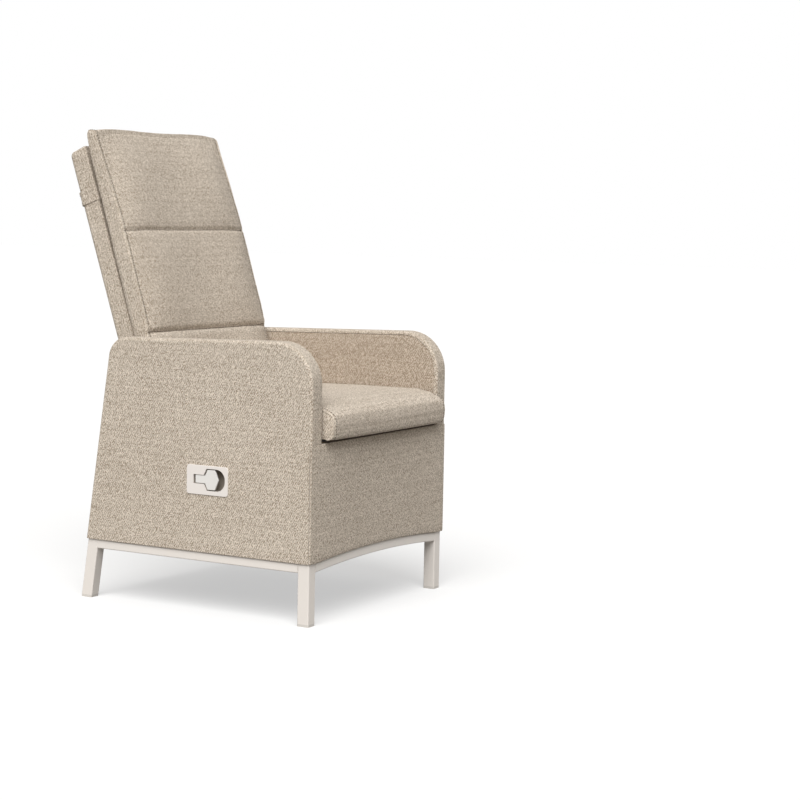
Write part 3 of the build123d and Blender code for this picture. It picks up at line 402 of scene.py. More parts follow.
def studio_floor(name, shadow_lift):
    """Pale paper that throws little light back up, and is seen white but for its shadow."""
    paper = Finish(name, Roughness=1.0, Specular_IOR_Level=0.0)
    seen = paper.seen()
    paper.set("Base Color", paper.blend(seen, colour(150, 148, 145), colour(243, 243, 243)))
    glow = paper.node("ShaderNodeEmission", values={"Strength": 1.0})
    values = {0: seen * shadow_lift, 1: Wire(paper, paper.shader.outputs[0]), 2: glow}
    mixed = paper.node("ShaderNodeMixShader", values=values)
    paper.feed(paper.tree.nodes["Material Output"].inputs["Surface"], mixed)
    return paper.material


# Hand modelling


def hold(obj):
    """Leaves edit mode and makes one object the only one selected."""
    if bpy.context.mode != "OBJECT":
        bpy.ops.object.mode_set(mode="OBJECT")
    bpy.ops.object.select_all(action="DESELECT")
    if obj:
        obj.select_set(True)
        bpy.context.view_layer.objects.active = obj


def block(name, low, high):
    """Cube between two corners, with its place in its mesh."""
    hold(None)
    low, high = Vector(low), Vector(high)
    bpy.ops.mesh.primitive_cube_add(size=1, location=(low + high) * 0.5)
    made = bpy.context.object
    made.name = made.data.name = name
    made.scale = high - low
    bpy.ops.object.transform_apply(location=True, rotation=True, scale=True)
    return made


def pick(obj, kind, test):
    """Enters edit mode with the vertices, edges or faces that pass a test selected."""
    hold(obj)
    bpy.ops.object.mode_set(mode="EDIT")
    bpy.ops.mesh.select_mode(type=kind)
    bpy.ops.mesh.select_all(action="DESELECT")
    mesh = bmesh.from_edit_mesh(obj.data)
    for item in {"VERT": mesh.verts, "EDGE": mesh.edges, "FACE": mesh.faces}[kind]:
        if test(item):
            item.select_set(True)
    mesh.select_flush_mode()
    bmesh.update_edit_mesh(obj.data)


def shift(obj, test, step):
    pick(obj, "VERT", test)
    bpy.ops.transform.translate(value=step)


def round_off(obj, test, radius, steps):
    """Bevels the edges that pass a test."""
    pick(obj, "EDGE", test)
    bpy.ops.mesh.bevel(offset=radius, segments=steps, offset_type="OFFSET", affect="EDGES")


def cut(obj, test, point, normal):
    """Cuts the faces that pass a test along a plane."""
    pick(obj, "FACE", test)
    bpy.ops.mesh.bisect(plane_co=point, plane_no=normal)


def remove_faces(obj, test):
    pick(obj, "FACE", test)
    bpy.ops.mesh.delete(type="FACE")


def raise_middle(obj, test, steps):
    """Crowns the faces that pass a test by a row of insets, each (width, lift)."""
    pick(obj, "FACE", test)
    for width, lift in steps:
        bpy.ops.mesh.inset(thickness=width, depth=lift)


def middle(item):
    """Middle of the corners of an edge or a face."""
    return sum((vert.co for vert in item.verts), Vector()) / len(item.verts)


def runs(edge, axis):
    """True where an edge runs along axis number axis."""
    step = edge.verts[0].co - edge.verts[1].co
    return abs(step[axis]) > 0.94 * step.length


def apply_modifier(obj, kind, **settings):
    hold(obj)
    modifier = obj.modifiers.new(kind.title(), kind)
    for key, value in settings.items():
        setattr(modifier, key, value)
    bpy.ops.object.modifier_apply(modifier=modifier.name)


def thicken(obj, thickness, offset=-1.0):
    """Gives a skin its thickness, inwards, or with an offset of 1 outwards."""
    apply_modifier(obj, "SOLIDIFY", thickness=thickness, offset=offset, use_even_offset=True)


def soften(obj, radius, steps=2, angle=50.0):
    """Small round on every sharp edge."""
    apply_modifier(
        obj, "BEVEL", width=radius, segments=steps, limit_method="ANGLE",
        angle_limit=math.radians(angle), use_clamp_overlap=True,
    )


def smooth(obj, angle=40.0, flat_faces=True):
    hold(obj)
    bpy.ops.object.shade_smooth_by_angle(angle=math.radians(angle))
    if flat_faces:
        apply_modifier(obj, "WEIGHTED_NORMAL", weight=60, keep_sharp=True)


def rise(value, start, width):
    """0 up to a start, 1 past a width beyond it, and even between."""
    return np.clip((value - start) / width, 0, 1)


def points_of(obj):
    flat = np.empty(len(obj.data.vertices) * 3)
    obj.data.vertices.foreach_get("co", flat)
    return flat.reshape(-1, 3)


def move_points(obj, points):
    obj.data.vertices.foreach_set("co", points.ravel())
    obj.data.update()


def turned(points, matrix):
    turn = np.array(matrix.to_3x3())
    return points @ turn.T + np.array(matrix.to_translation())


def lay_weave(obj, matrix=None, path=None):
    """UV map in metres, by the two axes that a face faces least, or x and the way along a path."""
    hold(obj)
    mesh = obj.data
    points = points_of(obj)
    normals = np.empty(len(mesh.polygons) * 3)
    mesh.polygons.foreach_get("normal", normals)
    normals = normals.reshape(-1, 3)
    if matrix is not None:
        inverse = matrix.inverted()
        points = turned(points, inverse)
        normals = normals @ np.array(inverse.to_3x3()).T
    counts = np.empty(len(mesh.polygons), int)
    mesh.polygons.foreach_get("loop_total", counts)
    corner_points = np.empty(len(mesh.loops), int)
    mesh.loops.foreach_get("vertex_index", corner_points)
    facing = np.repeat(np.abs(normals).argmax(1), counts)
    corners = points[corner_points]
    uv = np.where((facing == 0)[:, None], corners[:, 1:], corners[:, [0, 2]])
    uv = np.where((facing == 2)[:, None], corners[:, :2], uv)
    if path is not None:
        along = way_along(path, points[:, 1:])[corner_points]
        uv = np.where((facing != 0)[:, None], np.stack([corners[:, 0], along], 1), uv)
    for layer in list(mesh.uv_layers):
        mesh.uv_layers.remove(layer)
    mesh.uv_layers.new(name="weave").data.foreach_set("uv", uv.ravel())


def way_along(path, points):
    """Distance along a path of the nearest place on it, for each point."""
    path = np.array(path)
    starts, steps = path[:-1], np.diff(path, axis=0)
    lengths = np.linalg.norm(steps, axis=1)
    before = np.concatenate([[0], np.cumsum(lengths)[:-1]])
    best = np.full(len(points), 1e9)
    way = np.zeros(len(points))
    for start, step, length, base in zip(starts, steps, lengths, before):
        share = np.clip((points - start) @ step / length**2, 0, 1)
        distance = np.linalg.norm(points - start - share[:, None] * step, axis=1)
        nearer = distance < best
        best[nearer] = distance[nearer]
        way[nearer] = base + share[nearer] * length
    return way


def dress(obj, material, body, nodes=()):
    """Gives a finished piece its material and its body, and hides the parts that it stands for."""
    hold(None)
    obj.data.materials.clear()
    obj.data.materials.append(material)
    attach(obj, body)
    if nodes:
        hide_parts(*nodes)


# Outline of the sides


def rear_y(z, margin=0.0):
    return REAR_FOOT + margin / math.cos(REAR_RAKE) - z * math.tan(REAR_RAKE)


def top_z(y, margin=0.0):
    return TOP_AT_FRONT + margin / math.cos(TOP_SLOPE) - (y - FRONT) * math.tan(TOP_SLOPE)


def upper_rear_y(top, rear):
    """y of the sharp corner between the top line and the rear line."""
    slope, rake = math.tan(TOP_SLOPE), math.tan(REAR_RAKE)
    reach = SIDE_DEPTH + rear / math.cos(REAR_RAKE)
    height = TOP_AT_FRONT + top / math.cos(TOP_SLOPE)
    return FRONT + (reach - height * rake) / (1 - slope * rake)


def side_slab(name, x_range, margins, bottom):
    """Slab with the side outline of the chair, grown by margins, with its upper corners rounded."""
    front, top, rear = margins
    foot = rear_y(bottom, rear)
    crest = top_z(FRONT - front, top)
    corner = upper_rear_y(top, rear)
    low = (min(x_range), FRONT - front, bottom)
    slab = block(name, low, (max(x_range), foot, crest))
    step = (0, corner - foot, top_z(corner, top) - crest)
    shift(slab, lambda v: v.co.y > 0 and v.co.z > SEAM_Z + 0.01, step)
    corners = (
        (-1, FRONT_BEND + (front + top) / 2, math.pi / 2 - TOP_SLOPE),
        (1, REAR_BEND + (rear + top) / 2, math.pi / 2 + TOP_SLOPE + REAR_RAKE),
    )
    for sign, bend, angle in corners:
        round_off(
            slab,
            lambda e: runs(e, 0) and middle(e).z > 0.55 and middle(e).y * sign > 0.15,
            bend / math.tan(angle / 2),
            CORNER_STEPS,
        )
    return slab


def side_path(margin):
    """The side outline as points (y, z) from the front foot over the arm to the rear foot."""
    corner = Vector((upper_rear_y(margin, margin), 0))
    corner.y = top_z(corner.x, margin)
    crest = Vector((FRONT - margin, top_z(FRONT - margin, margin)))
    foot = Vector((rear_y(RAIL_TOP, margin), RAIL_TOP))
    start = Vector((FRONT - margin, RAIL_TOP))
    path = [start]
    bends = ((crest, start, corner, FRONT_BEND), (corner, crest, foot, REAR_BEND))
    for point, before, after, bend in bends:
        a = point + (before - point).normalized() * bend
        b = point + (after - point).normalized() * bend
        for share in np.linspace(0, 1, 17):
            path.append(a * (1 - share) ** 2 + point * 2 * share * (1 - share) + b * share**2)
    path.append(foot)
    return [tuple(point) for point in path]


# Upholstery of the frame


def arm_cover(side, word, sizes, material):
    """Fabric over the outside of one arm, round its edges and in to the seam of the inner pad."""
    inner, outer = side * COVER_INNER, side * COVER_OUTER
    skin = side_slab("arm_cover_" + word, (inner, outer), SIDE_MARGINS, RAIL_TOP)
    pick(skin, "FACE", lambda f: f.normal.x * side < -0.9)
    bpy.ops.mesh.inset(thickness=sizes.band_fold, depth=0)
    bpy.ops.mesh.delete(type="FACE")
    fold_top = RAIL_TOP + sizes.band_fold
    remove_faces(
        skin,
        lambda f: f.normal.z < -0.9 or (f.normal.x * side < -0.9 and middle(f).z < fold_top),
    )
    round_off(
        skin,
        lambda e: min(abs(v.co.x) for v in e.verts) > COVER_OUTER - 1e-5 and len(e.link_faces) == 2,
        sizes.cover_edge,
        5,
    )
    round_off(
        skin,
        lambda e: len(e.link_faces) == 2
        and max(abs(v.co.x) for v in e.verts) < COVER_INNER + 1e-5
        and min(abs(f.normal.x) for f in e.link_faces) < 0.3
        and max(abs(f.normal.x) for f in e.link_faces) > 0.9,
        sizes.cover_inner_edge,
        4,
    )
    band_end = SEAM_Z - APRON_DROP
    cut(skin, lambda f: True, (0, 0, band_end), (0, 0, 1))
    cut(skin, lambda f: middle(f).z < band_end, (0, FRONT, 0), (0, 1, 0))
    remove_faces(skin, lambda f: middle(f).z < band_end and middle(f).y < FRONT - 1e-5)
    if side < 0:
        open_for_handle(skin)
    thicken(skin, COVER_THICKNESS)
    soften(skin, 0.0007, angle=60.0)
    smooth(skin)
    lay_weave(skin, path=side_path(WEAVE_MARGIN))
    dress(skin, material, "base", ["side_cover_" + word])
    return skin


def open_for_handle(skin):
    """Rectangular opening in the side for the finger well, hidden under the handle's bezel."""
    low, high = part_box("handle_housing")
    y = (low.y + 0.005, high.y - 0.0155)
    z = (low.z + 0.006, high.z - 0.004)

    def outer_face(face):
        return abs(face.normal.x) > 0.99 and abs(middle(face).x) > COVER_OUTER - 1e-4

    for value in y:
        cut(skin, outer_face, (0, value, 0), (0, 1, 0))
    for value in z:
        cut(skin, outer_face, (0, 0, value), (0, 0, 1))
    remove_faces(
        skin,
        lambda f: outer_face(f) and y[0] < middle(f).y < y[1] and z[0] < middle(f).z < z[1],
    )


def arm_pad(side, word, sizes, material):
    """Padded inner face of one arm, inside the fold of the cover."""
    margins = [margin - sizes.band_fold for margin in SIDE_MARGINS]
    x_range = (side * (COVER_INNER + 0.0002), side * (TUBE_INNER - 0.0003))
    pad = side_slab("arm_pad_" + word, x_range, margins, SEAM_Z)
    round_off(pad, lambda e: max(abs(v.co.x) for v in e.verts) < COVER_INNER + 0.001, PAD_ROUND, 4)
    raise_middle(
        pad,
        lambda f: f.normal.x * side < -0.99 and f.calc_area() > 0.01,
        ((0.009, 0.0009), (0.011, 0.0007), (0.010, 0.0004)),
    )
    smooth(pad)
    lay_weave(pad)
    dress(pad, material, "base", ["arm_inner_pad_" + word])
    return pad


def panel(name, half_width, low, high, outside, depth, puff):
    """Upholstered panel across the chair; low, high and outside give its edges and its face."""
    hold(None)
    bpy.ops.mesh.primitive_grid_add(
        x_subdivisions=48, y_subdivisions=22, size=2, location=(0, 0, 0)
    )
    made = bpy.context.object
    made.name = made.data.name = name
    points = points_of(made)
    across, up = points[:, 0].copy(), (points[:, 1] + 1) / 2
    x = across * half_width
    z = low(x) + up * (high - low(x))
    swell = (1 - np.abs(across) ** 8) * (1 - np.abs(2 * up - 1) ** 6)
    towards = -1 if outside(0.2) < 0 else 1
    y = np.array([outside(value) for value in z]) + towards * puff * swell
    if towards > 0:
        x = -x
    move_points(made, np.stack([x, y, z], 1))
    thicken(made, depth)
    soften(made, min(0.003, depth * 0.45), 3)
    smooth(made, flat_faces=False)
    lay_weave(made)
    return made


def front_low(x):
    """Lower edge of the front panel: an arch between the legs."""
    share = np.clip(np.abs(x) / TUBE_INNER, 0, 1)
    return RAIL_TOP + FRONT_RISE * (1 - share**2)


def rear_low(x):
    """Lower edge of the rear panel: level."""
    return np.full_like(x, RAIL_TOP)


# Cushions


def soft_copy(node, name, voxel):
    """A solid's form as one even quad mesh."""
    made = frame["nodes"][node].copy()
    made.data = made.data.copy()
    made.name = made.data.name = name
    for key in list(made.keys()):
        if key.startswith("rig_"):
            del made[key]
    made.parent = None
    bpy.context.scene.collection.objects.link(made)
    hold(made)
    bpy.ops.object.mode_set(mode="EDIT")
    bpy.ops.mesh.select_all(action="SELECT")
    bpy.ops.mesh.remove_doubles(threshold=0.00002)
    bpy.ops.mesh.normals_make_consistent(inside=False)
    apply_modifier(made, "REMESH", mode="VOXEL", voxel_size=voxel, use_smooth_shade=True)
    for attribute in list(made.data.attributes):
        if attribute.name.startswith("custom"):
            made.data.attributes.remove(attribute)
    return made


def relax(obj, rounds):
    apply_modifier(obj, "SMOOTH", factor=0.5, iterations=rounds)


def inflate(obj, held, pressure, cap):
    """Fills a closed skin as cloth under pressure, held at its seams, with a cap on each move."""
    group = obj.vertex_groups.new(name="held")
    for index in np.nonzero(held > 0.01)[0]:
        group.add([int(index)], float(held[index]), "REPLACE")
    rest = points_of(obj)
    modifier = obj.modifiers.new("Cloth", "CLOTH")
    cloth = modifier.settings
    cloth.quality = 6
    cloth.mass = 0.25
    cloth.tension_stiffness = cloth.compression_stiffness = 12
    cloth.shear_stiffness = 6
    cloth.bending_stiffness = 0.4
    cloth.vertex_group_mass = group.name
    cloth.pin_stiffness = 2
    cloth.use_pressure = True
    cloth.uniform_pressure_force = pressure
    cloth.effector_weights.gravity = 0
    modifier.collision_settings.use_collision = False
    scene = bpy.context.scene
    for number in range(1, 21):
        scene.frame_set(number)
    evaluated = obj.evaluated_get(bpy.context.evaluated_depsgraph_get())
    mesh = evaluated.to_mesh()
    swollen = np.empty(len(mesh.vertices) * 3)
    mesh.vertices.foreach_get("co", swollen)
    evaluated.to_mesh_clear()
    obj.modifiers.remove(modifier)
    scene.frame_set(1)
    move = swollen.reshape(-1, 3) - rest
    length = np.linalg.norm(move, axis=1)
    share = cap * np.tanh(length / cap) / np.maximum(length, 1e-9)
    move_points(obj, rest + move * share[:, None])


def nearness(distance, width):
    """1 on a line and 0 beyond a width from it."""
    return np.exp(-((distance / width) ** 2))


def snap(surface, points, lift=0.0):
    """Nearest places on a surface, with its normals there."""
    tree = BVHTree.FromObject(surface, bpy.context.evaluated_depsgraph_get())
    places, normals = [], []
    for point in points:
        place, normal, _, _ = tree.find_nearest(Vector(point))
        places.append(place + normal * lift)
        normals.append(normal)
    return places, normals


def even(points, pitch):
    """Points spread evenly along a line."""
    points = np.array(points, float)
    lengths = np.concatenate([[0], np.cumsum(np.linalg.norm(np.diff(points, axis=0), axis=1))])
    count = max(2, int(round(lengths[-1] / pitch)) + 1)
    at = np.linspace(0, lengths[-1], count)
    return np.stack([np.interp(at, lengths, points[:, axis]) for axis in range(3)], 1)


def welt(name, surface, path, sizes, material, body, matrix=None):
    """Thin raised fold of fabric along a seam, by its radius and its lift off the surface."""
    radius, lift = sizes
    places, _ = snap(surface, even(path, 0.006), lift)
    line = bpy.data.curves.new(name, "CURVE")
    line.dimensions = "3D"
    line.bevel_depth = radius
    line.bevel_resolution = 2
    line.use_fill_caps = True
    spline = line.splines.new("POLY")
    spline.points.add(len(places) - 1)
    for point, place in zip(spline.points, places):
        point.co = (*place, 1)
    made = bpy.data.objects.new(name, line)
    bpy.context.scene.collection.objects.link(made)
    hold(made)
    bpy.ops.object.convert(target="MESH")
    made = bpy.context.object
    smooth(made, 80.0, flat_faces=False)
    lay_weave(made, matrix)
    dress(made, material, body)
    return made


def stitch_row(name, surface, paths, material, body):
    """Rows of short thread stitches that lie on a surface."""
    hold(None)
    bpy.ops.mesh.primitive_ico_sphere_add(subdivisions=1, radius=0.5)
    shape = bpy.context.object
    seed = points_of(shape)
    faces = [tuple(polygon.vertices) for polygon in shape.data.polygons]
    bpy.data.objects.remove(shape)
    vertices, polygons = [], []
    for path in paths:
        path = even(path, STITCH_PITCH)
        places, normals = snap(surface, path, STITCH_WIDTH * 0.15)
        for index in range(len(places) - 1):
            ahead = Vector(path[index + 1] - path[index]).normalized()
            up = normals[index]
            beside = ahead.cross(up).normalized()
            up = beside.cross(ahead)
            axes = [ahead * STITCH_LENGTH, beside * STITCH_WIDTH, up * STITCH_WIDTH * 0.8]
            base = len(vertices)
            vertices.extend(seed @ np.array(axes) + np.array(places[index]))
            polygons.extend(tuple(base + number for number in face) for face in faces)
    mesh = bpy.data.meshes.new(name)
    mesh.from_pydata([tuple(vertex) for vertex in vertices], [], polygons)
    made = bpy.data.objects.new(name, mesh)
    bpy.context.scene.collection.objects.link(made)
    hold(made)
    bpy.ops.object.shade_smooth()
    dress(made, material, body)
    return made


def seat_side_path(x):
    """Edge of the seat cushion's side: along the bottom, up the front, over the fall and back."""
    low, top = SEAM_Z, SEAM_Z + SEAT_RISE
    front, rear = FRONT - 0.031, FRONT + 0.430
    path = [(rear, low), (front + 0.014, low), (front + 0.004, low + 0.004)]
    path += [(front, low + 0.014), (front - 0.001, low + 0.032), (front + 0.001, top - SEAT_FALL)]
    fall_end = FRONT + 0.042
    for share in np.linspace(0, 1, 9)[1:]:
        angle = share * math.pi / 2
        y = front + (fall_end - front) * (1 - math.cos(angle))
        path.append((y, top - SEAT_FALL * (1 - math.sin(angle))))
    path.append((rear, top - 0.008))
    return [(x, y, z) for y, z in path]


def square_up_seat(points):
    """Draws the seat cushion's front to its profile: upright face, firm edge and sloping fall."""
    x, y, z = points.T
    profile = np.array(SEAT_PROFILE) - SEAT_PROFILE_CENTRE
    turns = np.arctan2(profile[:, 1], -profile[:, 0])
    reaches = np.linalg.norm(profile, axis=1)
    offsets = np.stack([y - FRONT, z], 1) - SEAT_PROFILE_CENTRE
    turn = np.arctan2(offsets[:, 1], -offsets[:, 0])
    reach = np.linalg.norm(offsets, axis=1)
    crown = 0.003 * (1 - (x / SEAT_HALF_WIDTH) ** 2)
    wanted = np.interp(turn, turns, reaches) + crown
    outside = (offsets[:, 0] < -0.02) | (offsets[:, 1] > 0.012)
    share = 0.85 * outside * rise(-offsets[:, 0], -0.045, 0.02)
    drop = rise(np.abs(x), SEAT_HALF_WIDTH - 0.010, 0.010) ** 2
    share *= 1 - 0.8 * drop
    moved = offsets * (1 + share * (wanted / reach - 1))[:, None] + SEAT_PROFILE_CENTRE
    y[:] = moved[:, 0] + FRONT
    z[:] = np.maximum(moved[:, 1], SEAM_Z)
    beside = rise(np.abs(x), 0.10, 0.12) * (1 - drop)
    behind = rise(y - FRONT, 0.03, 0.03) * rise(z, 0.45, 0.03)
    z += (beside * 0.0085 - 0.0025) * behind


def seat_cushion(sizes, material):
    """Box cushion with a crown, a soft fall over the front and drawn-in sides."""
    made = soft_copy("seat_cushion", "seat_pad", CUSHION_VOXEL)
    relax(made, 4)
    low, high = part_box("seat_cushion")
    x, _, z = points_of(made).T
    at_sides = nearness(SEAT_HALF_WIDTH - np.abs(x), 0.004) * 0.9
    held = np.maximum(at_sides, nearness(z - low.z, 0.006))
    inflate(made, held, SWELL_PRESSURE, sizes.seat_swell)
    reach = SEAT_HALF_WIDTH + 0.003
    least = (-reach, low.y - 0.006, low.z)
    most = (reach, high.y + 0.003, high.z + 0.008)
    move_points(made, np.clip(points_of(made), least, most))
    apply_modifier(made, "SUBSURF", levels=1, render_levels=1)
    points = points_of(made)
    x, _, z = points.T
    inset = np.abs(x) - (SEAT_HALF_WIDTH - SEAT_SEAM_INSET)
    z -= nearness(inset, 0.003) * 0.0011 * (z > low.z + 0.02)
    square_up_seat(points)
    move_points(made, points)
    smooth(made, 180.0, flat_faces=False)
    lay_weave(made)
    dress(made, material, "base", ["seat_cushion"])
    return made


def back_side_path(x):
    """Edge of the back cushion's side, in the upright back: up the front, over the top and down."""
    path = [(-0.063, 0.026), (-0.066, 0.10), (-0.063, SEAM_HEIGHTS[0]), (-0.0735, 0.23)]
    path += [(-0.0735, SEAM_HEIGHTS[1]), (-0.0745, 0.54), (-0.0740, 0.668)]
    for share in np.linspace(0, 1, 13)[1:]:
        angle = math.pi * (1 - share)
        path.append((-0.0585 + 0.0155 * math.cos(angle), 0.672 + 0.016 * math.sin(angle)))
    path += [(-0.033, 0.62), (-0.030, 0.45), (-0.027, SEAM_HEIGHTS[0]), (-0.027, 0.026)]
    return [(x, y, z) for y, z in path]


def flatter_channels(points):
    """How far the front of the back cushion moves, so that each channel is flat up to its seams."""
    x, y, heights = points.T
    ends = (BACK_FOOT, *SEAM_HEIGHTS, CHANNELS_END)
    round_rise, flat_rise = np.zeros(len(points)), np.zeros(len(points))
    for low, high in zip(ends[:-1], ends[1:]):
        inside = (heights >= low) & (heights <= high)
        along = 2 * (heights - low) / (high - low) - 1
        round_rise[inside] = CHANNEL_ROUND * (1 - along[inside] ** 2)
        end_power = np.where((along > 0) & (high == ends[-1]), 1.0, (1 - 0.3 * np.abs(along) ** 9))
        flat_rise[inside] = CHANNEL_RISE * end_power[inside]
    over = heights > ends[-1]
    past = np.clip((heights[over] - ends[-1]) / 0.032, 0, 1)
    flat_rise[over] = CHANNEL_RISE * np.sqrt(1 - past**2)
    flat_rise += CHANNEL_CROWN * (1 - (x / BACK_HALF_WIDTH) ** 2)
    taper = np.clip((BACK_HALF_WIDTH - np.abs(x)) / 0.024, 0.12, 1)
    return (round_rise - flat_rise) * taper * rise(-y, 0.045, 0.02)


def fit_back(points):
    """Brings the back cushion to its outline: full sides, an even front and a slim rolled top."""
    x, y, z = points.T

    # Width and height of the whole.
    x *= BACK_REACH / np.abs(x).max()
    crest = z.max()
    z += (ROLL_TOP - crest) * rise(z, ROLL_START, crest - ROLL_START)
    height = z.copy()

    # The front face, by its height, and its fuller sides.
    at = (0.10, 0.15, 0.19, 0.25, 0.30, 0.36, 0.43, 0.50, 0.60)
    step = (0, -0.001, -0.007, -0.005, -0.003, -0.003, -0.004, -0.001, 0.001)
    y += np.interp(height, at, step) * rise(-y, 0.045, 0.02)
    y -= 0.0045 * rise(np.abs(x), 0.238, 0.012) * rise(-y, 0.055, 0.012)

    # The rolled top: its rear comes forward, and its front leans back.
    rear_now = np.interp(height, (0.60, 0.66, 0.68, 0.69), (-0.0272, -0.0316, -0.0340, -0.0370))
    share = (y - rear_now) / (BACK_FRONT - rear_now)
    rear_new = -0.0272 - 0.0155 * rise(height, ROLL_START, 0.083) ** 1.5
    slim = rear_new + share * (BACK_FRONT - rear_new)
    y[:] = np.where(height > ROLL_START, slim, y)
    y += 0.012 * rise(height, 0.46, 0.20) ** 1.5 * rise(-y, 0.070, 0.012)
    behind = rise(y, -0.055, 0.015) * rise(height, 0.668, 0.022)
    z -= 0.009 * behind**2

    # Fuller upper corners.
    edge_x, edge_z = BACK_REACH - ROLL_CORNER, ROLL_TOP - ROLL_CORNER
    out = np.clip((np.abs(x) - edge_x) / ROLL_CORNER, 1e-6, None)
    above = np.clip((z - edge_z) / ROLL_CORNER, 1e-6, None)
    fuller = ROLL_CORNER * np.hypot(out, above) / (out**3 + above**3) ** (1 / 3)
    both = (out > 0.001) & (above > 0.001)
    x[:] = np.where(both, np.sign(x) * (edge_x + out * fuller), x)
    z[:] = np.where(both, edge_z + above * fuller, z)

    # Drawn-in edges at the rear.
    y -= 0.008 * rise(np.abs(x), 0.232, 0.011) * rise(y, -0.05, 0.02)


def back_cushion(sizes, material):
    """Long cushion sewn into three channels, with flat side strips."""
    made = soft_copy("back_cushion", "back_pad", CUSHION_VOXEL)
    relax(made, 2)
    upright = ON_BACK.inverted()
    points = turned(points_of(made), upright)
    points[:, 1] += flatter_channels(points)
    move_points(made, turned(points, ON_BACK))
    x, y, z = points.T
    to_seam = np.min([np.abs(z - height) for height in SEAM_HEIGHTS], axis=0)
    seams = (
        nearness(BACK_HALF_WIDTH - np.abs(x), 0.005),
        nearness(to_seam, 0.005) * (y < -0.05),
        nearness(z - BACK_FOOT, 0.006),
        np.clip((z - 0.640) / 0.02, 0, 0.9),
        nearness(y - BACK_REAR, 0.004) * 0.9,
    )
    inflate(made, np.max(seams, axis=0), SWELL_PRESSURE, sizes.back_swell)
    apply_modifier(made, "SUBSURF", levels=1, render_levels=1)
    points = turned(points_of(made), upright)
    x, y, z = points.T
    y[:] = np.clip(y, -0.097, BACK_REAR + 0.0002)
    fit_back(points)
    front = rise(-y, 0.045, 0.012)
    fade = np.clip((BACK_REACH - np.abs(x)) / 0.02, 0.25, 1)
    for height in SEAM_HEIGHTS:
        groove = nearness(z - height, 0.0040) * 0.0038 + nearness(z - height, 0.010) * 0.0015
        y += groove * front * fade
    inset = np.abs(x) - (BACK_REACH - BACK_SEAM_INSET)
    y += nearness(inset, 0.003) * 0.0012 * front
    move_points(made, turned(points, ON_BACK))
    smooth(made, 180.0, flat_faces=False)
    lay_weave(made, ON_BACK)
    dress(made, material, "back", ["back_cushion"])
    return made


# The back's shell, its strap and the webbing


def rounded_core(name, low, high, grow=0.0):
    """Upright block with round rear edges and small front edges."""
    low = Vector(low) - Vector((grow, grow, 0))
    high = Vector(high) + Vector((grow, grow, 0))
    core = block(name, low, high)
    round_off(core, lambda e: runs(e, 2) and middle(e).y > 0, SHELL_ROUND + grow, 7)
    front_round = SHELL_FRONT_ROUND + grow
    round_off(core, lambda e: runs(e, 2) and middle(e).y < low.y + 1e-4, front_round, 3)
    return core


def back_shell(material):
    """Padded shell of the back: rear, edges and front in one closed piece."""
    low, high = (-SHELL_SIDE, SHELL_FRONT, SHELL_FOOT), (SHELL_SIDE, SHELL_REAR, SHELL_TOP)
    core = rounded_core("back_shell", low, high)
    start = SHELL_FRONT + SHELL_FRONT_ROUND + 1e-4
    round_off(
        core,
        lambda e: all(v.co.z > SHELL_TOP - 1e-4 for v in e.verts) and middle(e).y > start,
        SHELL_ROUND - 0.001,
        7,
    )
    raise_middle(
        core,
        lambda f: f.normal.y > 0.99 and f.calc_area() > 0.05,
        ((0.02, 0.0012), (0.03, 0.0010), (0.05, 0.0006)),
    )
    smooth(core)
    core.data.transform(ON_BACK)
    lay_weave(core, ON_BACK)
    dress(core, material, "back", ["back_shell_rear", "back_shell_front"])
    return core


def band_path(height):
    """Level line round the band of the back shell, in the upright back."""
    side, rear, bend = SHELL_SIDE + 0.0005, SHELL_REAR + 0.003, SHELL_ROUND
    half = [(-side, -0.018), (-side, rear - bend)]
    for share in np.linspace(0, 1, 7)[1:]:
        angle = share * math.pi / 2
        place = (-side + bend * (1 - math.cos(angle)), rear - bend + bend * math.sin(angle))
        half.append(place)
    line = half + [(-x, y) for x, y in reversed(half)]
    return turned(np.array([(x, y, height) for x, y in line]), ON_BACK)


def shell_strap(material):
    """Hemmed elastic band round the shell."""
    low, high = (-SHELL_SIDE, SHELL_FRONT, BAND_LOW), (SHELL_SIDE, SHELL_REAR + 0.002, BAND_HIGH)
    ring = rounded_core("shell_strap", low, high, grow=0.0004)
    remove_faces(ring, lambda f: abs(f.normal.z) > 0.9)
    for height in (BAND_LOW + BAND_HEM, BAND_HIGH - BAND_HEM):
        cut(ring, lambda f: True, (0, 0, height), (0, 0, 1))
    centre, plain = (BAND_LOW + BAND_HIGH) / 2, (BAND_HIGH - BAND_LOW) / 2 - BAND_HEM
    pick(ring, "FACE", lambda f: abs(middle(f).z - centre) > plain)
    bpy.ops.mesh.extrude_region_shrink_fatten(
        TRANSFORM_OT_shrink_fatten={"value": 0.0006, "use_even_offset": True}
    )
    thicken(ring, 0.0009, offset=1.0)
    soften(ring, 0.0003)
    smooth(ring)
    ring.data.transform(ON_BACK)
    lay_weave(ring, ON_BACK)
    dress(ring, material, "back", ["cushion_strap"])
    return ring


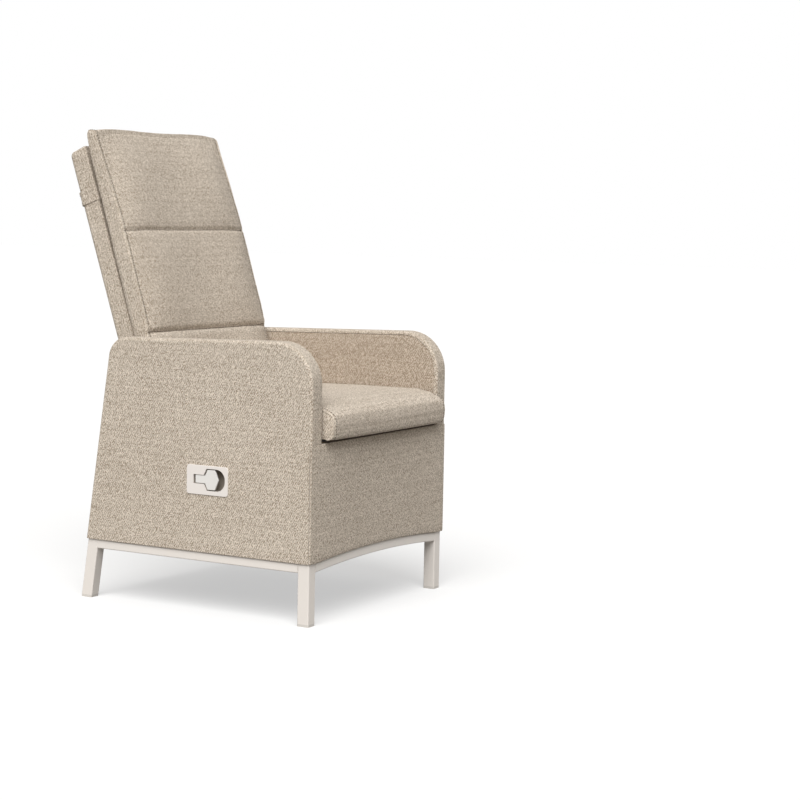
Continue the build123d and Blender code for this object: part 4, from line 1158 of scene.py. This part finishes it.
def webbing(name, straps, fold):
    """Woven straps as one piece, each from two corners and a height, with its ends folded down."""
    made = []
    for low, high, height in straps:
        hold(None)
        centre = ((low[0] + high[0]) / 2, (low[1] + high[1]) / 2, height)
        bpy.ops.mesh.primitive_plane_add(size=1, location=centre)
        strap = bpy.context.object
        width, depth = high[0] - low[0], high[1] - low[1]
        strap.scale = (width, depth, 1)
        bpy.ops.object.transform_apply(location=True, rotation=True, scale=True)
        long_way = 0 if width > depth else 1
        if fold:
            for end in (low[long_way], high[long_way]):
                pick(strap, "EDGE", lambda e: abs(middle(e)[long_way] - end) < 1e-5)
                bpy.ops.mesh.extrude_region_move(TRANSFORM_OT_translate={"value": (0, 0, -fold)})
        made.append(strap)
    hold(None)
    for strap in made:
        strap.select_set(True)
    bpy.context.view_layer.objects.active = made[0]
    bpy.ops.object.join()
    web = bpy.context.object
    web.name = web.data.name = name
    thicken(web, STRAP_THICKNESS)
    soften(web, 0.0004)
    smooth(web)
    return web


def strap_edges(low, high, count):
    """Both edges of each of the straps that are spread evenly between two limits."""
    free = (high - low - count * STRAP_WIDTH) / (count + 1)
    starts = [low + free + index * (free + STRAP_WIDTH) for index in range(count)]
    return [(start, start + STRAP_WIDTH) for start in starts]


def cross_straps():
    low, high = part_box("seat_straps_cross")
    front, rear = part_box("seat_cross_front")[1].y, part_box("seat_cross_back")[0].y
    return [((low.x, a), (high.x, b), high.z) for a, b in strap_edges(front, rear, 6)]


def long_straps():
    low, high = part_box("seat_straps_long")
    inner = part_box("seat_rail_left")[0].x
    return [((a, low.y), (b, high.y), high.z) for a, b in strap_edges(-inner, inner, 5)]


# Settings


def size_property(title, text, value):
    return bpy.props.FloatProperty(name=title, description=text, default=value, subtype="DISTANCE")


def colour_property(title, text, value):
    return bpy.props.FloatVectorProperty(
        name=title, description=text, default=[part / 255 for part in value], min=0, max=1,
        subtype="COLOR_GAMMA",
    )


def strength_property(title, text, value):
    return bpy.props.FloatProperty(name=title, description=text, default=value, min=0)


class ArmchairSizes(bpy.types.PropertyGroup):
    band_fold: size_property("Band fold", "Width of the arm's fabric seen on its inner side", 0.009)
    cover_edge: size_property("Cover edge", "Radius of the arm's outer edges", 0.008)
    cover_inner_edge: size_property("Inner edge", "Radius of the arm's inner edges", 0.006)
    thread: size_property("Thread pitch", "Distance between two threads of the fabric", 0.0014)
    seat_swell: size_property("Seat swell", "Most that the seat cushion swells", 0.006)
    back_swell: size_property("Back swell", "Most that the back cushion swells", 0.004)


class ArmchairColours(bpy.types.PropertyGroup):
    light_yarn: colour_property("Light yarn", "Light yarn of the fabric", (232, 221, 207))
    dark_yarn: colour_property("Dark yarn", "Dark yarn of the fabric", (146, 131, 113))
    # Inner yarns: a darker, warmer copy of the outer yarns, painted shade for the arms' inner
    # faces.
    inner_shaded_light: colour_property("Inner light yarn", "Light yarn inside the arms", (212, 198, 182))
    inner_shaded_dark: colour_property("Inner dark yarn", "Dark yarn inside the arms", (134, 117, 98))
    # Fold yarns: a lighter copy of the outer yarns, painted highlight where the seat welts catch
    # the light.
    fold_highlight_light: colour_property("Fold light yarn", "Light yarn of the seat welts", (230, 219, 205))
    fold_highlight_dark: colour_property("Fold dark yarn", "Dark yarn of the seat welts", (158, 144, 127))
    paint: colour_property("Frame paint", "Powder coat of the legs and rails", (225, 219, 213))
    bezel: colour_property("Handle plate", "Moulded plate round the paddle", (226, 220, 215))
    paddle: colour_property("Paddle", "Release paddle", (222, 220, 217))


class ArmchairStudio(bpy.types.PropertyGroup):
    lamp: strength_property("Lamp", "Strength of the large soft lamp", 3.68)
    fill: strength_property("Fill", "Strength of the light from all round", 0.34)
    shadow_lift: bpy.props.FloatProperty(
        name="Shadow lift", description="Share of white in the floor's shadow", default=0.52,
        min=0, max=1, subtype="FACTOR",
    )
    softness: bpy.props.FloatProperty(
        name="Softness", description="Angle that the soft lamp covers", default=math.radians(50),
        subtype="ANGLE",
    )


def fabric(kind="outer"):
    """The chair's fabric, made once for each kind: outer, inner or fold; inner is a darker copy,
    painted shade inside the arms, and fold a lighter copy, painted highlight on the seat welts.
    """
    found = bpy.data.materials.get("fabric_" + kind)
    if found:
        return found
    colours = bpy.context.scene.armchair_colours
    light, dark = {
        "outer": (colours.light_yarn, colours.dark_yarn),
        "inner": (colours.inner_shaded_light, colours.inner_shaded_dark),
        "fold": (colours.fold_highlight_light, colours.fold_highlight_dark),
    }[kind]
    thread = bpy.context.scene.armchair_sizes.thread
    return tweed("fabric_" + kind, written(light), written(dark), thread)


def seam_thread(name):
    return thread_finish(name, colour(92, 80, 69))


class ARMCHAIR_OT_covers(bpy.types.Operator):
    """Fabric over the arms, the front and the rear"""

    bl_idname = "armchair.covers"
    bl_label = "Covers"

    def execute(self, context):
        sizes = context.scene.armchair_sizes
        for side, word in SIDES:
            arm_cover(side, word, sizes, fabric())
            # The inner pads get the darker inner fabric: painted shade on the arms' inner faces.
            arm_pad(side, word, sizes, fabric("inner"))
        apron = panel(
            "front_apron", COVER_OUTER, front_low, SEAM_Z - APRON_DROP,
            lambda z: FRONT - APRON_DEPTH, APRON_DEPTH, 0.0018,
        )
        dress(apron, fabric(), "base", ["front_cover"])
        rear = panel(
            "rear_apron", COVER_INNER - 0.0005, rear_low, SEAM_Z,
            lambda z: rear_y(z, SIDE_MARGINS[2]), REAR_DEPTH, 0.0015,
        )
        dress(rear, fabric(), "base", ["rear_panel"])
        return {"FINISHED"}


class ARMCHAIR_OT_seat(bpy.types.Operator):
    """Seat cushion with its side seams"""

    bl_idname = "armchair.seat"
    bl_label = "Seat cushion"

    def execute(self, context):
        pad = seat_cushion(context.scene.armchair_sizes, fabric())
        rows = []
        for side, word in SIDES:
            path = seat_side_path(side * (SEAT_HALF_WIDTH - 0.001))
            name = "seat_welt_" + word
            # The welts get the lighter fold fabric: painted highlight along the raised seams.
            welt(name, pad, path, SEAT_WELT, fabric("fold"), "base")
            rows.append(seat_side_path(side * (SEAT_HALF_WIDTH - SEAT_SEAM_INSET)))
        stitch_row("seat_stitches", pad, rows, seam_thread("seam_thread"), "base")
        return {"FINISHED"}


class ARMCHAIR_OT_back(bpy.types.Operator):
    """Back cushion in three channels, with sewn side strips"""

    bl_idname = "armchair.back"
    bl_label = "Back cushion"

    def execute(self, context):
        pad = back_cushion(context.scene.armchair_sizes, fabric())
        rows = []
        for side, word in SIDES:
            path = turned(np.array(back_side_path(side * (BACK_REACH - 0.0015))), ON_BACK)
            name = "back_welt_" + word
            welt(name, pad, path, BACK_WELT, fabric(), "back", ON_BACK)
            inside = back_side_path(side * (BACK_REACH - BACK_SEAM_INSET))
            rows.append(turned(np.array(inside), ON_BACK))
        reach = BACK_REACH - 0.004
        for height in SEAM_HEIGHTS:
            across = [(x, -0.078, height) for x in np.linspace(-reach, reach, 30)]
            rows.append(turned(np.array(across), ON_BACK))
        stitch_row("back_stitches", pad, rows, seam_thread("back_thread"), "back")
        return {"FINISHED"}


class ARMCHAIR_OT_shell(bpy.types.Operator):
    """Padded shell of the back and the band round it"""

    bl_idname = "armchair.shell"
    bl_label = "Back shell and band"

    def execute(self, context):
        back_shell(fabric())
        band = shell_strap(fabric())
        inset = BAND_HEM + 0.0005
        rows = [band_path(height) for height in (BAND_LOW + inset, BAND_HIGH - inset)]
        thread = thread_finish("band_thread", colour(110, 97, 84))
        stitch_row("band_stitches", band, rows, thread, "back")
        return {"FINISHED"}


class ARMCHAIR_OT_webbing(bpy.types.Operator):
    """Elastic webbing under the seat cushion and in the back"""

    bl_idname = "armchair.webbing"
    bl_label = "Webbing"

    def execute(self, context):
        finish = webbing_finish("webbing_weave")
        sets = (
            ("seat_webbing_cross", "seat_straps_cross", cross_straps()),
            ("seat_webbing_long", "seat_straps_long", long_straps()),
        )
        for name, node, straps in sets:
            web = webbing(name, straps, STRAP_FOLD)
            lay_weave(web)
            dress(web, finish, "base", [node])
        upright = [((-0.220, a), (0.220, b), 0) for a, b in strap_edges(0.030, 0.640, 6)]
        web = webbing("back_webbing", upright, 0)
        stand = Matrix.Translation((0, -0.0122, 0)) @ Matrix.Rotation(math.pi / 2, 4, "X")
        web.data.transform(ON_BACK @ stand)
        lay_weave(web, ON_BACK)
        dress(web, finish, "back", ["back_straps"])
        return {"FINISHED"}


class ARMCHAIR_OT_finishes(bpy.types.Operator):
    """Paint, plating, plastics and wood of the frame and the mechanism"""

    bl_idname = "armchair.finishes"
    bl_label = "Frame and mechanism"

    def execute(self, context):
        colours = context.scene.armchair_colours
        # The well colour is painted shade for the recess of the finger well.
        plate, well = written(colours.bezel), colour(168, 159, 148)
        made = {
            "frame_paint": powder_coat("frame_paint", written(colours.paint)),
            "inner_paint": powder_coat("inner_paint", colour(78, 76, 74), 0.5),
            "board": plywood_shade_dark("board_shade_dark"),
            "zinc_steel": plain_metal("zinc_steel", colour(188, 190, 192), 0.38),
            "glide_plastic": moulded("glide_plastic", colour(208, 203, 197), 0.5),
            "bush_plastic": moulded("bush_plastic", colour(52, 52, 54), 0.45),
            "handle_plastic": handle_plate_shaded_well("handle_plastic", plate, well),
            "paddle_plastic": moulded("paddle_plastic", written(colours.paddle), 0.34),
            "spring_steel": plain_metal("spring_steel", colour(150, 152, 156), 0.3),
            "wire_steel": plain_metal("wire_steel", colour(172, 174, 176), 0.34),
            "sheath_plastic": moulded("sheath_plastic", colour(38, 38, 40), 0.5),
            "head_metal": plain_metal("head_metal", colour(120, 122, 126), 0.42),
            "rod_chrome": plain_metal("rod_chrome", colour(224, 226, 230), 0.12),
            "cylinder_paint": powder_coat("cylinder_paint", colour(32, 32, 34), 0.35),
        }
        for part in frame["record"]["subparts"]:
            if part["material_slot"] in made:
                mesh = frame["nodes"][part["node"]].data
                mesh.materials.clear()
                mesh.materials.append(made[part["material_slot"]])
        return {"FINISHED"}


class ARMCHAIR_OT_stage(bpy.types.Operator):
    """Pale floor, soft light and the camera"""

    bl_idname = "armchair.stage"
    bl_label = "Stage"

    def execute(self, context):
        scene = context.scene
        studio = scene.armchair_studio
        hold(None)
        bpy.ops.mesh.primitive_plane_add(size=60, location=(0, 0, 0))
        floor = bpy.context.object
        floor.name = "floor"
        floor.data.materials.append(studio_floor("floor_paper", studio.shadow_lift))
        lamp = bpy.data.lights.new("soft_lamp", "SUN")
        lamp.energy = studio.lamp
        lamp.angle = studio.softness
        lamp.color = (1.0, 0.995, 0.985)
        holder = bpy.data.objects.new("soft_lamp", lamp)
        scene.collection.objects.link(holder)
        holder.rotation_mode = "QUATERNION"
        towards = Vector((-0.599, -0.286, 0.748))
        holder.rotation_quaternion = towards.to_track_quat("Z", "Y")
        light_all_round(scene, studio.fill)
        camera = bpy.data.cameras.new("camera")
        camera.lens, camera.sensor_width = 91.85, 36
        camera.shift_x, camera.shift_y = 0.00728, 0.0011
        camera.clip_end = 100
        stand = bpy.data.objects.new("camera", camera)
        right = Vector((0.50367, -0.86369, 0.01881))
        up = Vector((0.07122, 0.06321, 0.99546))
        forward = Vector((0.86096, 0.50004, -0.09335))
        turn = Matrix((right, up, -forward)).transposed().to_4x4()
        stand.matrix_world = Matrix.Translation((-4.10995, -2.76974, 0.93786)) @ turn
        scene.collection.objects.link(stand)
        scene.camera = stand
        scene.view_settings.view_transform = "Standard"
        return {"FINISHED"}


def light_all_round(scene, strength):
    """World that lights evenly, and is white where it is seen or mirrored."""
    scene.world = bpy.data.worlds.new("studio")
    scene.world.use_nodes = True
    room = Sheet(scene.world.node_tree)
    room.tree.nodes.remove(room.tree.nodes["Background"])
    warm, white = (1.0, 0.975, 0.94, 1), (1, 1, 1, 1)
    dim = room.node("ShaderNodeBackground", values={"Color": warm, "Strength": strength})
    plain = room.node("ShaderNodeBackground", values={"Color": white, "Strength": 1.0})
    mixed = room.node("ShaderNodeMixShader", values={0: room.seen(), 1: dim, 2: plain})
    room.feed(room.tree.nodes["World Output"].inputs["Surface"], mixed)


STEPS = (
    ARMCHAIR_OT_stage,
    ARMCHAIR_OT_covers,
    ARMCHAIR_OT_seat,
    ARMCHAIR_OT_back,
    ARMCHAIR_OT_shell,
    ARMCHAIR_OT_webbing,
    ARMCHAIR_OT_finishes,
)


class ARMCHAIR_PT_panel(bpy.types.Panel):
    """Sizes, colours and steps of the armchair"""

    bl_idname = "ARMCHAIR_PT_panel"
    bl_label = "Armchair"
    bl_space_type = "VIEW_3D"
    bl_region_type = "UI"
    bl_category = "Armchair"

    def draw(self, context):
        for group in ("armchair_sizes", "armchair_colours", "armchair_studio"):
            values = getattr(context.scene, group)
            for key in values.__annotations__:
                self.layout.prop(values, key)
        for step in STEPS:
            self.layout.operator(step.bl_idname)


GROUPS = (ArmchairSizes, ArmchairColours, ArmchairStudio)
CLASSES = GROUPS + STEPS + (ARMCHAIR_PT_panel,)


def register():
    for item in CLASSES:
        bpy.utils.register_class(item)
    bpy.types.Scene.armchair_sizes = bpy.props.PointerProperty(type=ArmchairSizes)
    bpy.types.Scene.armchair_colours = bpy.props.PointerProperty(type=ArmchairColours)
    bpy.types.Scene.armchair_studio = bpy.props.PointerProperty(type=ArmchairStudio)


def unregister():
    del bpy.types.Scene.armchair_studio
    del bpy.types.Scene.armchair_colours
    del bpy.types.Scene.armchair_sizes
    for item in reversed(CLASSES):
        bpy.utils.unregister_class(item)


def main():
    register()
    for step in STEPS:
        group, name = step.bl_idname.split(".")
        getattr(getattr(bpy.ops, group), name)()
    hold(None)


if __name__ == "__main__":
    main()
